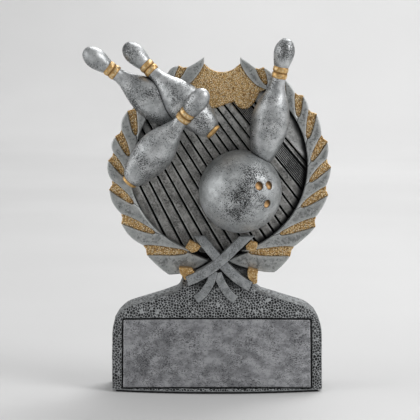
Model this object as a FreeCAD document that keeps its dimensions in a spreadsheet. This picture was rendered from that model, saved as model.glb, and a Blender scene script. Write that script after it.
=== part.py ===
"""Bowling trophy: a relief wreath on a bell-shaped base, with four pins, a ball and a ribbon.

Millimetres, +Z up. The origin is the centre of the underside, and the front faces -Y.
The upright parts are reliefs that stand forward, towards -Y, from a flat back at the rear.
"""
import FreeCAD, Part
import math
import os

from FreeCAD import Placement, Rotation, Vector

DOC = FreeCAD.newDocument("BowlingTrophy")

# ---------------------------------------------------------------- driving dimensions
SIZES = [
    ("base_half_width", 46.8, "half the width of the base"),
    ("base_slope_height", 35.3, "where the shoulder's slope would meet the side"),
    ("base_slope_rise", 17.0, "degrees that the shoulder rises towards the neck"),
    ("base_corner_radius", 13.0, "round corner between side and shoulder"),
    ("neck_half_width", 15.5, "half the width of the neck"),
    ("neck_radius", 6.0, "hollow curve between shoulder and neck"),
    ("neck_top", 58.0, "top of the neck"),
    ("neck_bevel_start", 46.0, "height where the neck starts to slope back"),
    ("neck_bevel_angle", 45.0, "degrees that the sloped top of the neck leans back"),
    ("foot_front", 19.0, "how far the foot stands forward at its middle"),
    ("back_face", 14.0, "the flat back"),
    ("front_lean", 12.4, "degrees that the front face leans back"),
    ("front_radius", 183.0, "radius of the bowed front face"),
    ("pad_thickness", 1.0, "felt under the base"),
    ("pad_inset", 1.5, "felt edge in from the base edge"),
    ("panel_width", 83.4, "name panel, across"),
    ("panel_height", 30.0, "name panel, along the leaning face"),
    ("panel_bottom", 3.3, "edge of the base to the panel, along the leaning face"),
    ("panel_proud", 0.5, "panel above the front face"),
    ("panel_sunk", 1.4, "panel below the front face"),
    ("panel_gap", 0.6, "groove around the panel"),
    ("wreath_x", 0.5, "centre of the wreath"),
    ("wreath_z", 100.5, "centre of the wreath, height"),
    ("wreath_inner", 40.0, "inner radius of the wreath"),
    ("wreath_outer", 48.8, "outer radius of the wreath at the sides"),
    ("wreath_shift", 0.6, "how far the outer edge's centre lies right of the inner circle's"),
    ("wreath_droop", 2.5, "growth of the outer radius towards the bottom"),
    ("leaf_bulge", 0.5, "how far a leaf's outer edge bulges past its corners"),
    ("leaf_bulge_left", 1.3, "the same on the left side, above the lowest leaf"),
    ("upper_left_inset", 2.7, "how much further in the wreath reaches at its upper left"),
    ("inlay_tip_gap", 1.4, "inner end of a gold inlay to the wreath's inner edge"),
    ("inlay_half_width", 2.05, "half the width of a gold inlay level with the wreath's centre"),
    ("inlay_narrowing", 0.3, "how much narrower that half is at the top"),
    ("inlay_notch", 0.7, "notch in the outer end of a gold inlay"),
    ("plate_inset", 1.5, "back plate edge in from the leaves"),
    ("notch_radius", 8.6, "round notch at the top"),
    ("notch_x", 2.3, "centre of the notch"),
    ("notch_z", 150.0, "centre of the notch, height"),
    ("notch_step", 0.4, "back plate edge behind the crest's edge at the notch"),
    ("knot_top", 68.9, "level top of the ribbon's knot"),
    ("plate_front", 3.5, "front of the back plate"),
    ("leaf_front", 2.0, "leaf tops forward of the frame origin"),
    ("inlay_front", 0.6, "gold inlays forward of the frame origin"),
    ("crest_front", 1.0, "crest field forward of the frame origin"),
    ("crest_leaf_front", 2.4, "crest leaves forward of the frame origin"),
    ("board_thickness", 2.5, "lane boards above the back plate"),
    ("board_pitch", 4.92, "lane boards, groove to groove, level with the first groove"),
    ("groove_width", 0.95, "gap between lane boards, level"),
    ("gutter_pitch", 0.98, "fine ribs of the gutter, level"),
    ("gutter_depth", 1.2, "fine ribs above the back plate"),
    ("gutter_rib_share", 0.6, "a rib's share of the gutter pitch"),
    ("bank_depth", 1.9, "bank beyond the gutter, above the back plate"),
    ("ball_radius", 18.5, "ball"),
    ("ball_x", 10.4, "ball centre"),
    ("ball_y", -3.0, "ball centre"),
    ("ball_z", 88.7, "ball centre"),
    ("hole_radius", 1.9, "finger hole"),
    ("hole_depth", 2.4, "finger hole"),
    ("dish_radius", 2.6, "hollow face of a finger-hole liner"),
    ("dish_lift", 1.2, "centre of that hollow above the ball's surface"),
    ("pin_length", 56.0, "pin, base to top of head"),
    ("pin_girth", 0.95, "girth of the sculpted pins against regulation ones"),
    ("band_bottom", 38.0, "neck band, from the pin's base"),
    ("band_top", 43.4, "neck band, from the pin's base"),
    ("band_thickness", 0.4, "neck band above the neck"),
    ("band_edge", 0.18, "neck band above the neck, between and beside its two rounds"),
    ("head_step", 0.35, "foot of the head above the neck"),
    ("ring_thickness", 1.3, "gold base ring"),
    ("ribbon_width", 4.2, "ribbon bands"),
    ("tail_width", 3.7, "ribbon tails"),
    ("ribbon_back", -2.0, "back of the ribbon, on the leaf tops"),
    ("front_band_proud", 2.8, "front band above the leaning plane of the base"),
    ("back_band_proud", 1.6, "back band above that plane"),
    ("tail_proud", 1.3, "tails above that plane"),
    ("fold_proud", 1.0, "gold folds above that plane"),
]


def make_sheet(sizes):
    """Puts the driving dimensions into a spreadsheet, one row each, with an alias."""
    sheet = DOC.addObject("Spreadsheet::Sheet", "Sizes")
    for row, (alias, value, note) in enumerate(sizes, start=1):
        sheet.set("A%d" % row, str(value))
        sheet.setAlias("A%d" % row, alias)
        sheet.set("B%d" % row, note)
    DOC.recompute()
    return sheet


SHEET = make_sheet(SIZES)


def size(alias):
    """The value of a driving dimension."""
    return float(SHEET.get(alias))


def bind(thing, prop, formula):
    """Binds a property to the sheet: every word in braces is one of its aliases."""
    thing.setExpression(prop, formula.replace("{", "Sizes.").replace("}", ""))


# ---------------------------------------------------------------- outlines in the XZ plane
def spot(point):
    """A sketch point from an (x, z) pair."""
    return Vector(point[0], point[1], 0)


def chain(points):
    """Straight edges through the points in turn."""
    return [Part.LineSegment(spot(a), spot(b)) for a, b in zip(points, points[1:])]


def curve(points):
    """One smooth edge through the points."""
    spline = Part.BSplineCurve()
    spline.interpolate([spot(p) for p in points])
    return [spline]


def loop(points):
    """One smooth closed edge through the points."""
    spline = Part.BSplineCurve()
    spline.interpolate([spot(p) for p in points], PeriodicFlag=True)
    return [spline]


def arc(start, middle, end):
    """One circular edge."""
    return [Part.Arc(spot(start), spot(middle), spot(end))]


def strip(centre_line, width, samples=7):
    """The closed outline of a strip of even width along a smooth centre line."""
    spline = Part.BSplineCurve()
    spline.interpolate([spot(p) for p in centre_line])
    left, right = [], []
    for step in range(samples):
        span = spline.LastParameter - spline.FirstParameter
        at = spline.FirstParameter + span * step / (samples - 1)
        middle = spline.value(at)
        along = spline.tangent(at)[0]
        side = Vector(-along.y, along.x, 0) * (width / 2)
        left.append((middle.x + side.x, middle.y + side.y))
        right.append((middle.x - side.x, middle.y - side.y))
    ends = chain([left[-1], right[-1]]) + chain([right[0], left[0]])
    return curve(left) + curve(right[::-1]) + ends


# ---------------------------------------------------------------- features
def origin_plane(body, role):
    """One of a body's own origin planes."""
    return [f for f in body.Origin.OriginFeatures if f.Role == role][0]


def sketch_in(body, role, edges):
    """A sketch on one of the body's origin planes."""
    sketch = body.newObject("Sketcher::SketchObject", body.Name + "_outline")
    sketch.AttachmentSupport = [(origin_plane(body, role), "")]
    sketch.MapMode = "FlatFace"
    sketch.addGeometry(edges, False)
    return sketch


def new_body(label):
    """An empty body, which may hold several separate solids."""
    body = DOC.addObject("PartDesign::Body", label)
    body.Label = label
    body.AllowCompound = True
    return body


def relief(label, edges, back, depth):
    """A pad that runs forward, towards -Y, from the plane y = back; depth is a formula."""
    body = new_body(label)
    sketch = sketch_in(body, "XZ_Plane", edges)
    bind(sketch, "AttachmentOffset.Base.z", "-(%s)" % back)
    pad = body.newObject("PartDesign::Pad", label + "_pad")
    pad.Profile = sketch
    bind(pad, "Length", depth)
    body.Tip = pad
    DOC.recompute()
    return body


def turned(label, edges):
    """A solid turned about the body's own Z axis from a half outline."""
    body = new_body(label)
    sketch = sketch_in(body, "XZ_Plane", edges)
    spin = body.newObject("PartDesign::Revolution", label + "_turn")
    spin.Profile = sketch
    spin.ReferenceAxis = (sketch, ["V_Axis"])
    spin.Angle = 360
    body.Tip = spin
    DOC.recompute()
    return body


def cylinder(label, radius, height, place):
    """A cylinder with its radius and height given as formulas."""
    solid = DOC.addObject("Part::Cylinder", label)
    bind(solid, "Radius", radius)
    bind(solid, "Height", height)
    solid.Placement = place
    return solid


def boolean(kind, label, base, tool):
    """A Part boolean of two objects."""
    result = DOC.addObject(kind, label)
    result.Base = base
    result.Tool = tool
    DOC.recompute()
    return result


def overlaps(first, second):
    """True where two objects share space."""
    if not first.Shape.BoundBox.intersect(second.Shape.BoundBox):
        return False
    return first.Shape.common(second.Shape).Volume > 1e-4


def cleared(base, tools):
    """The base with every overlapping tool cut out of it, one after another."""
    for tool in tools:
        if overlaps(base, tool):
            base = boolean("Part::Cut", base.Name + "_less_" + tool.Name[:18], base, tool)
    return base


NODES = {}


def keep(label, thing):
    """Names a finished sub-part."""
    thing.Label = label
    NODES[label] = thing
    return thing


# ---------------------------------------------------------------- base, felt and name panel
LEAN = math.radians(size("front_lean"))
FRONT_TILT = Rotation(Vector(1, 0, 0), -size("front_lean"))
# Cutting tools reach this far past what they cut, and the panel's stock this far forward.
FAR = 60.0
PANEL_REACH = 4.0


def front_point(along, inward):
    """A point of the middle of the leaning front face, up along it and in behind it."""
    y = -size("foot_front") + along * math.sin(LEAN) + inward * math.cos(LEAN)
    z = along * math.cos(LEAN) - inward * math.sin(LEAN)
    return Vector(0, y, z)


def front_cylinder(label, grown):
    """The cylinder whose near side is the bowed, leaning front face; grown is a formula."""
    place = Placement(front_point(-FAR, size("front_radius")), FRONT_TILT)
    return cylinder(label, "{front_radius} + " + grown, str(4 * FAR), place)


def leaning_box(label, width, deep, tall, along, inward):
    """A box square to the leaning front face, centred on x = 0; the sizes are formulas."""
    box = DOC.addObject("Part::Box", label)
    bind(box, "Length", width)
    bind(box, "Width", deep)
    bind(box, "Height", tall)
    DOC.recompute()
    corner = front_point(along, inward) - Vector(box.Length.Value / 2, 0, 0)
    box.Placement = Placement(corner, FRONT_TILT)
    return box


def bell_outline():
    """The front outline of the base: sides, round corners, rising shoulders and neck."""
    side = size("base_half_width")
    neck = size("neck_half_width")
    rise = math.radians(size("base_slope_rise"))
    meet_side = size("base_slope_height")
    meet_neck = meet_side + (side - neck) * math.tan(rise)
    half_turn = (math.pi / 2 - rise) / 2
    bottom = size("pad_thickness")

    def rounded(corner_x, corner_z, radius, sign):
        """Start, middle and end of the arc that rounds one corner of the shoulder."""
        reach = radius * math.tan(half_turn)
        centre_x = corner_x - sign * radius
        centre_z = corner_z - sign * reach
        start = (corner_x, centre_z)
        middle = (centre_x + sign * radius * math.cos(half_turn),
                  centre_z + sign * radius * math.sin(half_turn))
        end = (centre_x + sign * radius * math.cos(2 * half_turn),
               centre_z + sign * radius * math.sin(2 * half_turn))
        return start, middle, end

    low_start, low_middle, low_end = rounded(side, meet_side, size("base_corner_radius"), 1)
    top_start, top_middle, top_end = rounded(neck, meet_neck, size("neck_radius"), -1)
    edges = chain([(-side, bottom), (side, bottom)])
    for mirror in (1, -1):
        def flip(point):
            return (mirror * point[0], point[1])
        edges += chain([flip((side, bottom)), flip(low_start)])
        edges += arc(flip(low_start), flip(low_middle), flip(low_end))
        edges += chain([flip(low_end), flip(top_end)])
        edges += arc(flip(top_end), flip(top_middle), flip(top_start))
        edges += chain([flip(top_start), flip((neck, size("neck_top")))])
    edges += chain([(neck, size("neck_top")), (-neck, size("neck_top"))])
    return edges


def make_base():
    """The base block: bell outline, bowed leaning front, recess for the panel."""
    bell = relief("base_bell", bell_outline(), "{back_face}", "{back_face} + {foot_front}")
    block = boolean("Part::Common", "base_fronted", bell, front_cylinder("base_front", "0"))
    bevel = DOC.addObject("Part::Box", "neck_bevel")
    bind(bevel, "Length", "4 * {neck_half_width}")
    bevel.Width = FAR
    bevel.Height = FAR
    hinge_y = -size("foot_front") + size("neck_bevel_start") * math.tan(LEAN)
    tilt = Rotation(Vector(1, 0, 0), -size("neck_bevel_angle"))
    corner = Vector(-2 * size("neck_half_width"), hinge_y, size("neck_bevel_start"))
    bevel.Placement = Placement(corner - tilt.multVec(Vector(0, FAR, 0)), tilt)
    DOC.recompute()
    block = boolean("Part::Cut", "base_bevelled", block, bevel)
    recess = leaning_box("panel_recess_box", "{panel_width} + 2 * {panel_gap}", str(FAR),
                         "{panel_height} + 2 * {panel_gap}",
                         size("panel_bottom") - size("panel_gap"), -PANEL_REACH)
    floor = front_cylinder("panel_floor", "-{panel_sunk}")
    DOC.recompute()
    recess = boolean("Part::Cut", "panel_recess", recess, floor)
    return keep("base_block", boolean("Part::Cut", "base_recessed", block, recess))


def make_panel():
    """The smooth name panel, bowed like the front face, bedded in its recess."""
    box = leaning_box("panel_box", "{panel_width}", str(FAR), "{panel_height}",
                      size("panel_bottom"), -PANEL_REACH)
    outer = front_cylinder("panel_face", "{panel_proud}")
    floor = front_cylinder("panel_back", "-{panel_sunk}")
    DOC.recompute()
    faced = boolean("Part::Common", "panel_faced", box, outer)
    return keep("name_panel", boolean("Part::Cut", "panel_bedded", faced, floor))


def make_felt():
    """The felt pad that the trophy stands on."""
    inset = size("pad_inset")
    side = size("base_half_width") - inset
    radius = size("front_radius")
    bow = radius - math.sqrt(radius ** 2 - side ** 2)
    front = -size("foot_front") + inset
    rear = size("back_face") - inset
    edges = chain([(-side, front + bow), (-side, rear), (side, rear), (side, front + bow)])
    edges += arc((side, front + bow), (0, front), (-side, front + bow))
    body = new_body("felt")
    sketch = sketch_in(body, "XY_Plane", edges)
    pad = body.newObject("PartDesign::Pad", "felt_pad_up")
    pad.Profile = sketch
    bind(pad, "Length", "{pad_thickness}")
    body.Tip = pad
    DOC.recompute()
    return keep("felt_pad", body)


# ---------------------------------------------------------------- wreath
# Outer ends of the gold inlays, degrees up from level, from the bottom to the crest,
# and how many degrees each one swings down between its outer end and its inner tip.
INLAY_ENDS = [-49.7, -30.5, -13.5, 0.7, 13.8, 29.2, 41.0, 54.0, 66.7]
INLAY_SWINGS = [21.0, 18.0, 13.6, 11.3, 11.7, 12.9, 10.0, 8.8, 7.7]
# The lowest leaf: the angle of its low outer corner, and how much further round the right one is.
LOW_CORNER = -64.3
LOW_CORNER_SKEW = 1.8
# Its long inner tip, and how far its low corner drops past the wreath's outer edge.
LOW_TIP = -84.5
LOW_TIP_RADIUS = 43.2
LOW_DROP = 3.2
# Its belly: degrees past the corner and depth in from it; and the hollow of its upper edge.
LOW_BELLY = (9.0, 4.6)
LOW_HOLLOW = 1.3
# The left side's leaves sit higher: by this many degrees from level up, and less below.
LEFT_LIFT = 3.5
LIFT_START = -45.0
# Where a leaf's outer edge bulges most, as a share of the way up from its lower corner.
BULGE_AT = 0.58
# The left side's upper leaves are held in: by how much, and around which angle and how widely.
HELD_IN = 1.5
HELD_ANGLE = 27.0
HELD_SPREAD = 16.0
# The upper left inset of the inner edge is full for a stem that ends at this angle, and fades to
# nothing this many degrees to either side.
INSET_ANGLE = 34.0
INSET_SPREAD = 29.5
# How full an inlay's outline is along its length, and how blunt its inner end is.
INLAY_FULLNESS = 2.2
INLAY_BLUNTNESS = 0.44
INLAY_SAMPLES = 7
# How square an inlay's outer end is to its length: 1 is square, and 0 follows the wreath's edge.
INLAY_SQUARENESS = 0.75
# How straight a leaf runs, level with the wreath's centre, and how much straighter at the top.
STRAIGHTNESS = 0.62
STRAIGHTENING = 0.2


def side_angle(angle, side):
    """The angle of an inlay's outer end, on either side of the wreath."""
    if side > 0:
        return angle
    return angle + LEFT_LIFT * min(1.0, max(0.0, 1.0 - angle / LIFT_START))


def at_polar(angle, radius, side):
    """A point of the wreath; side is 1 for the right and -1 for the left."""
    turn = math.radians(angle)
    x = size("wreath_x") + side * radius * math.cos(turn)
    return (x, size("wreath_z") + radius * math.sin(turn))


def outer_radius(angle, side):
    """The wreath's outer radius: the wreath is widest at the bottom."""
    turn = math.radians(angle)
    shift = side * size("wreath_shift") * math.cos(turn)
    if side < 0:
        shift -= HELD_IN * math.exp(-((angle - HELD_ANGLE) / HELD_SPREAD) ** 2)
    return size("wreath_outer") + shift - size("wreath_droop") * math.sin(turn)


def inner_radius(end_angle, side):
    """Where the stem that ends at end_angle meets the wreath's inner edge."""
    inner = size("wreath_inner")
    if side < 0:
        away = math.radians(90.0 * (end_angle - INSET_ANGLE) / INSET_SPREAD)
        inner -= size("upper_left_inset") * max(0.0, math.cos(away))
    return inner


def tip_share(end_angle, side):
    """How far out an inlay's tip is, as a share of the wreath's width."""
    return size("inlay_tip_gap") / (outer_radius(end_angle, side) - inner_radius(end_angle, side))


def stem(end_angle, swing, side, share):
    """A leaf's centre line: share 0 is on the inner edge and 1 at the outer edge."""
    inner = inner_radius(end_angle, side)
    radius = inner + (outer_radius(end_angle, side) - inner) * share
    straight = STRAIGHTNESS + STRAIGHTENING * math.sin(math.radians(end_angle))
    inward = (1 - share) / (1 - tip_share(end_angle, side))
    return end_angle - swing * (straight * inward + (1 - straight) * inward ** 2), radius


def inlay_edges(index, side):
    """Upper and lower edge points of one gold inlay, from its inner tip outwards."""
    end = side_angle(INLAY_ENDS[index], side)
    swing = INLAY_SWINGS[index]
    half = size("inlay_half_width") - size("inlay_narrowing") * math.sin(math.radians(end))
    tip = tip_share(end, side)
    nudge = 0.01
    upper, lower = [], []
    for step in range(INLAY_SAMPLES):
        # The samples crowd towards the inner end, where the outline turns fastest.
        along = (step / (INLAY_SAMPLES - 1)) ** 2
        share = tip + (1 - tip) * along
        angle, radius = stem(end, swing, side, share)
        next_angle, next_radius = stem(end, swing, side, share + nudge)
        # The stem runs slantwise, so the half width is split between angle and radius.
        slant = math.atan2(math.radians(next_angle - angle) * radius, next_radius - radius)
        width = half * (1 - (1 - along) ** INLAY_FULLNESS) ** INLAY_BLUNTNESS
        reach = INLAY_SQUARENESS * width * math.sin(slant)
        turn = math.degrees((width - reach * math.sin(slant)) / math.cos(slant) / radius)
        upper.append(at_polar(angle + turn, radius - reach, side))
        lower.append(at_polar(angle - turn, radius + reach, side))
    return upper, lower


def inlay_outline(index, side):
    """One gold inlay, blunt inside and notched at its outer end."""
    upper, lower = inlay_edges(index, side)
    end = side_angle(INLAY_ENDS[index], side)
    notch = at_polar(end, outer_radius(end, side) - size("inlay_notch"), side)
    return curve(upper) + curve(lower) + chain([upper[-1], notch, lower[-1]])


def stem_foot(index, side):
    """Where inlay index's stem meets the inner edge, as angle and radius."""
    return stem(side_angle(INLAY_ENDS[index], side), INLAY_SWINGS[index], side, 0)


def leaf_outline(index, side):
    """One silver leaf, between inlay index - 1 below it and inlay index above it."""
    lower_side, _ = inlay_edges(index - 1, side)
    _, upper_side = inlay_edges(index, side)
    low_angle, low_radius = stem_foot(index - 1, side)
    high_angle, high_radius = stem_foot(index, side)
    low = at_polar(low_angle, low_radius, side)
    high = at_polar(high_angle, high_radius, side)
    middle = at_polar((low_angle + high_angle) / 2, (low_radius + high_radius) / 2, side)
    edges = chain([low, lower_side[0]]) + curve(lower_side)
    bulge = size("leaf_bulge" if side > 0 else "leaf_bulge_left")
    edges += bulging(lower_side[-1], upper_side[-1], bulge)
    edges += curve(upper_side) + chain([upper_side[0], high])
    return edges + arc(low, middle, high)


def lowest_leaf_outline(side):
    """The lowest leaf: its inner end is drawn out into a long point behind the ribbon."""
    _, upper_side = inlay_edges(0, side)
    tip = at_polar(LOW_TIP, LOW_TIP_RADIUS, side)
    corner_angle = LOW_CORNER + side * LOW_CORNER_SKEW
    corner_radius = outer_radius(corner_angle, side) + LOW_DROP
    corner = at_polar(corner_angle, corner_radius, side)
    belly = at_polar(corner_angle - LOW_BELLY[0], corner_radius - LOW_BELLY[1], side)
    inlay_tip = INLAY_ENDS[0] - INLAY_SWINGS[0]
    hollow = at_polar((LOW_TIP + inlay_tip) / 2, LOW_TIP_RADIUS - LOW_HOLLOW, side)
    edges = curve([tip, belly, corner]) + bulging(corner, upper_side[-1], size("leaf_bulge"))
    return edges + curve(upper_side) + curve([upper_side[0], hollow, tip])


def bulging(low, high, bulge):
    """The outer edge of a leaf between its two corners, which bulges most near the upper one."""
    middle = Vector(size("wreath_x"), size("wreath_z"), 0)
    chord = spot(low) + (spot(high) - spot(low)) * BULGE_AT
    peak = chord + (chord - middle).normalize() * bulge
    return curve([low, (peak.x, peak.y), high])


def make_wreath():
    """Nine silver leaves on each side, each a piece, and the gold inlays between them."""
    for side, name in ((1, "right"), (-1, "left")):
        inlays = []
        for index in range(len(INLAY_ENDS)):
            outline = leaf_outline(index, side) if index else lowest_leaf_outline(side)
            leaf = relief("leaf_%s_%d" % (name, index + 1), outline,
                          "{plate_front}", "{plate_front} + {leaf_front}")
            keep("leaf_%s_%d" % (name, index + 1), cleared(leaf, [NODES["base_block"]]))
            inlays += inlay_outline(index, side)
        group = relief("gold_inlays_" + name, inlays, "{plate_front}", "{plate_front} + {inlay_front}")
        keep("gold_inlays_" + name, group)


# ---------------------------------------------------------------- crest
CREST_X = size("notch_x")
CREST_TIP = (8.0, 148.3)
CREST_LEAF_OUTER = (11.6, 145.8)
CREST_LEAF_INNER = [(15.3, 136.0), (12.7, 138.3), (10.1, 141.6), (8.1, 145.2)]
# The crest field's lower edge, from its right foot to its left: a tab, then a shallow swag.
CREST_TAB = [(18.9, 132.9), (16.2, 128.2), (12.0, 125.6), (9.6, 126.6), (8.0, 129.0)]
CREST_SWAG = [(8.0, 129.0), (3.6, 127.6), (-2.5, 125.9), (-8.0, 127.2), (-13.0, 131.5)]


def crest_points(points, side):
    """Points given outwards from the crest's own middle line."""
    return [(CREST_X + side * x, z) for x, z in points]


def crest_corner(side):
    """Where the crest meets the top inlay's stem on the wreath's inner edge."""
    top = len(INLAY_ENDS) - 1
    angle, radius = stem_foot(top, side)
    return at_polar(angle, radius, side)


def crest_inner_line(side):
    """The edge that a crest leaf shares with the crest field, from below to its tip."""
    return [crest_corner(side)] + crest_points(CREST_LEAF_INNER, side)


def make_crest():
    """The gold field at the top with its round notch, and a silver leaf on each side."""
    for side, name in ((1, "right"), (-1, "left")):
        upper, _ = inlay_edges(len(INLAY_ENDS) - 1, side)
        tip, outer = crest_points([CREST_TIP, CREST_LEAF_OUTER], side)
        inner = crest_inner_line(side)
        edges = curve([tip, outer, upper[-1]]) + curve(upper)
        edges += chain([upper[0], inner[0]]) + curve(inner) + chain([inner[-1], tip])
        leaf = relief("crest_leaf_" + name, edges, "{plate_front}", "{plate_front} + {crest_leaf_front}")
        keep("crest_leaf_" + name, leaf)
    right = crest_inner_line(1)
    left = crest_inner_line(-1)
    edges = curve(right) + curve(left)
    edges += arc(right[-1], (CREST_X, size("notch_z") - size("notch_radius")), left[-1])
    edges += curve([right[0]] + CREST_TAB) + curve(CREST_SWAG + [left[0]])
    keep("crest_field", relief("crest_field", edges, "{plate_front}", "{plate_front} + {crest_front}"))


# ---------------------------------------------------------------- back plate
PLATE_SAMPLES = 18


def make_plate():
    """The flat plate behind the wreath, notched at the top and fitted round the neck."""
    points = []
    for step in range(PLATE_SAMPLES):
        angle = 360.0 * step / PLATE_SAMPLES
        points.append(at_polar(angle, outer_radius(angle, 1) - size("plate_inset"), 1))
    plate = relief("plate_disc", loop(points), "{back_face}", "{back_face} - {plate_front}")
    place = Placement(Vector(size("notch_x"), FAR / 2, size("notch_z")), Rotation(Vector(1, 0, 0), 90))
    notch = cylinder("plate_notch", "{notch_radius} + {notch_step}", str(FAR), place)
    DOC.recompute()
    notched = boolean("Part::Cut", "plate_notched", plate, notch)
    return keep("back_plate", boolean("Part::Cut", "plate_on_neck", notched, NODES["base_block"]))


# ---------------------------------------------------------------- lane
# The lane's lines are placed by where they cross LANE_LEVEL; lean is in mm across per mm up.
LANE_LEVEL = 97.95
LANE_LEAN = -0.494
LANE_FANNING = -0.0045
FIRST_GROOVE = -38.0
LANE_BOARDS = 14
GUTTER_START = 31.5
GUTTER_RIBS = 8
STRIP_SPAN = (40.4, 42.2)
BANK_SPAN = (43.3, 83.3)
LANE_TOP = 145.0
LANE_BOTTOM = 55.0


def lane_line(across, height):
    """The lane's lines fan out: x, at a height, of the line that crosses LANE_LEVEL at across."""
    lean = LANE_LEAN + LANE_FANNING * (across - FIRST_GROOVE)
    return across + lean * (height - LANE_LEVEL)


def lane_quad(start, end):
    """The four-sided outline between two lines of the fan."""
    corners = [(lane_line(start, LANE_BOTTOM), LANE_BOTTOM), (lane_line(end, LANE_BOTTOM), LANE_BOTTOM),
               (lane_line(end, LANE_TOP), LANE_TOP), (lane_line(start, LANE_TOP), LANE_TOP)]
    return chain(corners + corners[:1])


def inside_wreath(label, outlines, depth):
    """Strips of the lane, trimmed to the opening of the wreath and its crest."""
    strips = relief(label + "_strips", outlines, "{plate_front}", depth)
    place = Placement(Vector(size("wreath_x"), size("plate_front"), size("wreath_z")),
                      Rotation(Vector(1, 0, 0), 90))
    disc = cylinder(label + "_disc", "{wreath_inner}", str(FAR), place)
    DOC.recompute()
    trimmed = boolean("Part::Common", label + "_trimmed", strips, disc)
    around = [NODES[name] for name in NODES if name.startswith(("crest_", "leaf_left_", "gold_inlays_left"))]
    return keep(label, cleared(trimmed, around))


def make_lane():
    """Boards with dark grooves between them, the ribbed gutter, its edge strip and the bank."""
    pitch = size("board_pitch")
    half_gap = size("groove_width") / 2
    boards = lane_quad(FIRST_GROOVE - 2 * pitch, FIRST_GROOVE - half_gap)
    for index in range(LANE_BOARDS):
        start = FIRST_GROOVE + index * pitch
        boards += lane_quad(start + half_gap, start + pitch - half_gap)
    inside_wreath("lane_boards", boards, "{board_thickness}")
    ribs = []
    for index in range(GUTTER_RIBS):
        start = GUTTER_START + index * size("gutter_pitch")
        ribs += lane_quad(start, start + size("gutter_rib_share") * size("gutter_pitch"))
    inside_wreath("gutter_ribs", ribs, "{gutter_depth}")
    inside_wreath("lane_edge_strip", lane_quad(*STRIP_SPAN), "{board_thickness}")
    inside_wreath("gutter_bank", lane_quad(*BANK_SPAN), "{bank_depth}")


# ---------------------------------------------------------------- ribbon
# Centre lines of the ribbon's two crossed bands and two tails, as (x, z).
BANDS = {
    "ribbon_band_front": [(-13.3, 49.3), (-7.3, 51.9), (-0.4, 56.3), (3.7, 59.8), (8.4, 64.2), (15.6, 70.8)],
    "ribbon_band_back": [(-9.4, 71.6), (-5.9, 66.4), (-0.8, 60.2), (3.0, 55.9), (8.0, 51.2), (14.9, 46.9)],
    "ribbon_tail_left": [(-1.6, 53.5), (-2.6, 49.5), (-5.0, 45.2), (-9.3, 41.2)],
    "ribbon_tail_right": [(0.2, 52.8), (1.6, 49.2), (4.4, 44.6), (8.2, 41.0)],
}
# Corners of the gold folds that show behind the bands, as (x, z).
FOLDS = {
    "ribbon_fold_upper_left": [(-14.1, 63.8), (-12.0, 67.2), (-7.0, 64.6), (-8.9, 62.0), (-11.3, 61.5)],
    "ribbon_fold_upper_right": [(13.1, 63.0), (12.8, 64.6), (15.0, 66.9), (18.2, 65.9), (17.9, 63.7),
                                (16.2, 61.9)],
    "ribbon_fold_lower_left": [(-16.8, 55.2), (-11.5, 54.9), (-9.5, 52.5), (-14.0, 49.5), (-16.4, 52.5)],
    "ribbon_fold_lower_right": [(14.1, 55.0), (18.4, 53.7), (18.0, 51.9), (17.8, 48.3), (16.2, 47.8),
                                (13.9, 50.6), (13.5, 53.0)],
}


def band_edges(label):
    """The outline of a band or a tail, even in width along its centre line."""
    return strip(BANDS[label], size("tail_width" if "tail" in label else "ribbon_width"))


def layer_front(label, proud):
    """A block in front of the plane that lies proud of the leaning front face."""
    return leaning_box(label, str(2 * FAR), str(FAR), str(4 * FAR), -FAR, -size(proud) - FAR)


def ribbon_piece(label, edges, proud, behind):
    """A piece of ribbon, cut to its layer in front and to what lies behind it."""
    thick = relief(label + "_thick", edges, "{ribbon_back}", str(FAR))
    front = layer_front(label + "_layer", proud)
    DOC.recompute()
    flat = boolean("Part::Cut", label + "_flat", thick, front)
    return keep(label, cleared(flat, behind))


def above_knot():
    """A block above the level top of the knot."""
    block = DOC.addObject("Part::Box", "above_knot")
    block.Length = 2 * FAR
    block.Width = 2 * FAR
    block.Height = FAR
    block.Placement = Placement(Vector(-FAR, -FAR, size("knot_top")), Rotation())
    DOC.recompute()
    return block


def make_ribbon():
    """The knot: the back band under the front band, tails and gold folds under both."""
    below = [NODES["base_block"], above_knot()]
    back = ribbon_piece("ribbon_band_back", band_edges("ribbon_band_back"), "back_band_proud", below)
    front = ribbon_piece("ribbon_band_front", band_edges("ribbon_band_front"), "front_band_proud",
                         below + [back])
    bands = [back, front]
    left = ribbon_piece("ribbon_tail_left", band_edges("ribbon_tail_left"), "tail_proud", below + bands)
    ribbon_piece("ribbon_tail_right", band_edges("ribbon_tail_right"), "tail_proud", below + bands + [left])
    for label, points in FOLDS.items():
        ribbon_piece(label, chain(points + points[:1]), "fold_proud", below + bands)


# ---------------------------------------------------------------- ball and pins
def seat_block():
    """Everything behind the faces of the lane boards, inside the back plate's outline."""
    place = Placement(Vector(size("wreath_x"), size("plate_front") - size("board_thickness"),
                             size("wreath_z")), Rotation(Vector(1, 0, 0), -90))
    seat = cylinder("seat", "{wreath_outer} - {wreath_droop} - {plate_inset}", str(FAR), place)
    DOC.recompute()
    return seat


# Directions, from the ball's centre, of the two finger holes and the thumb hole: (x, z).
HOLES = {
    "finger_liner_left": (8.2, 4.0),
    "finger_liner_right": (12.7, 4.0),
    "thumb_liner": (11.9, -4.3),
}


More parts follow.
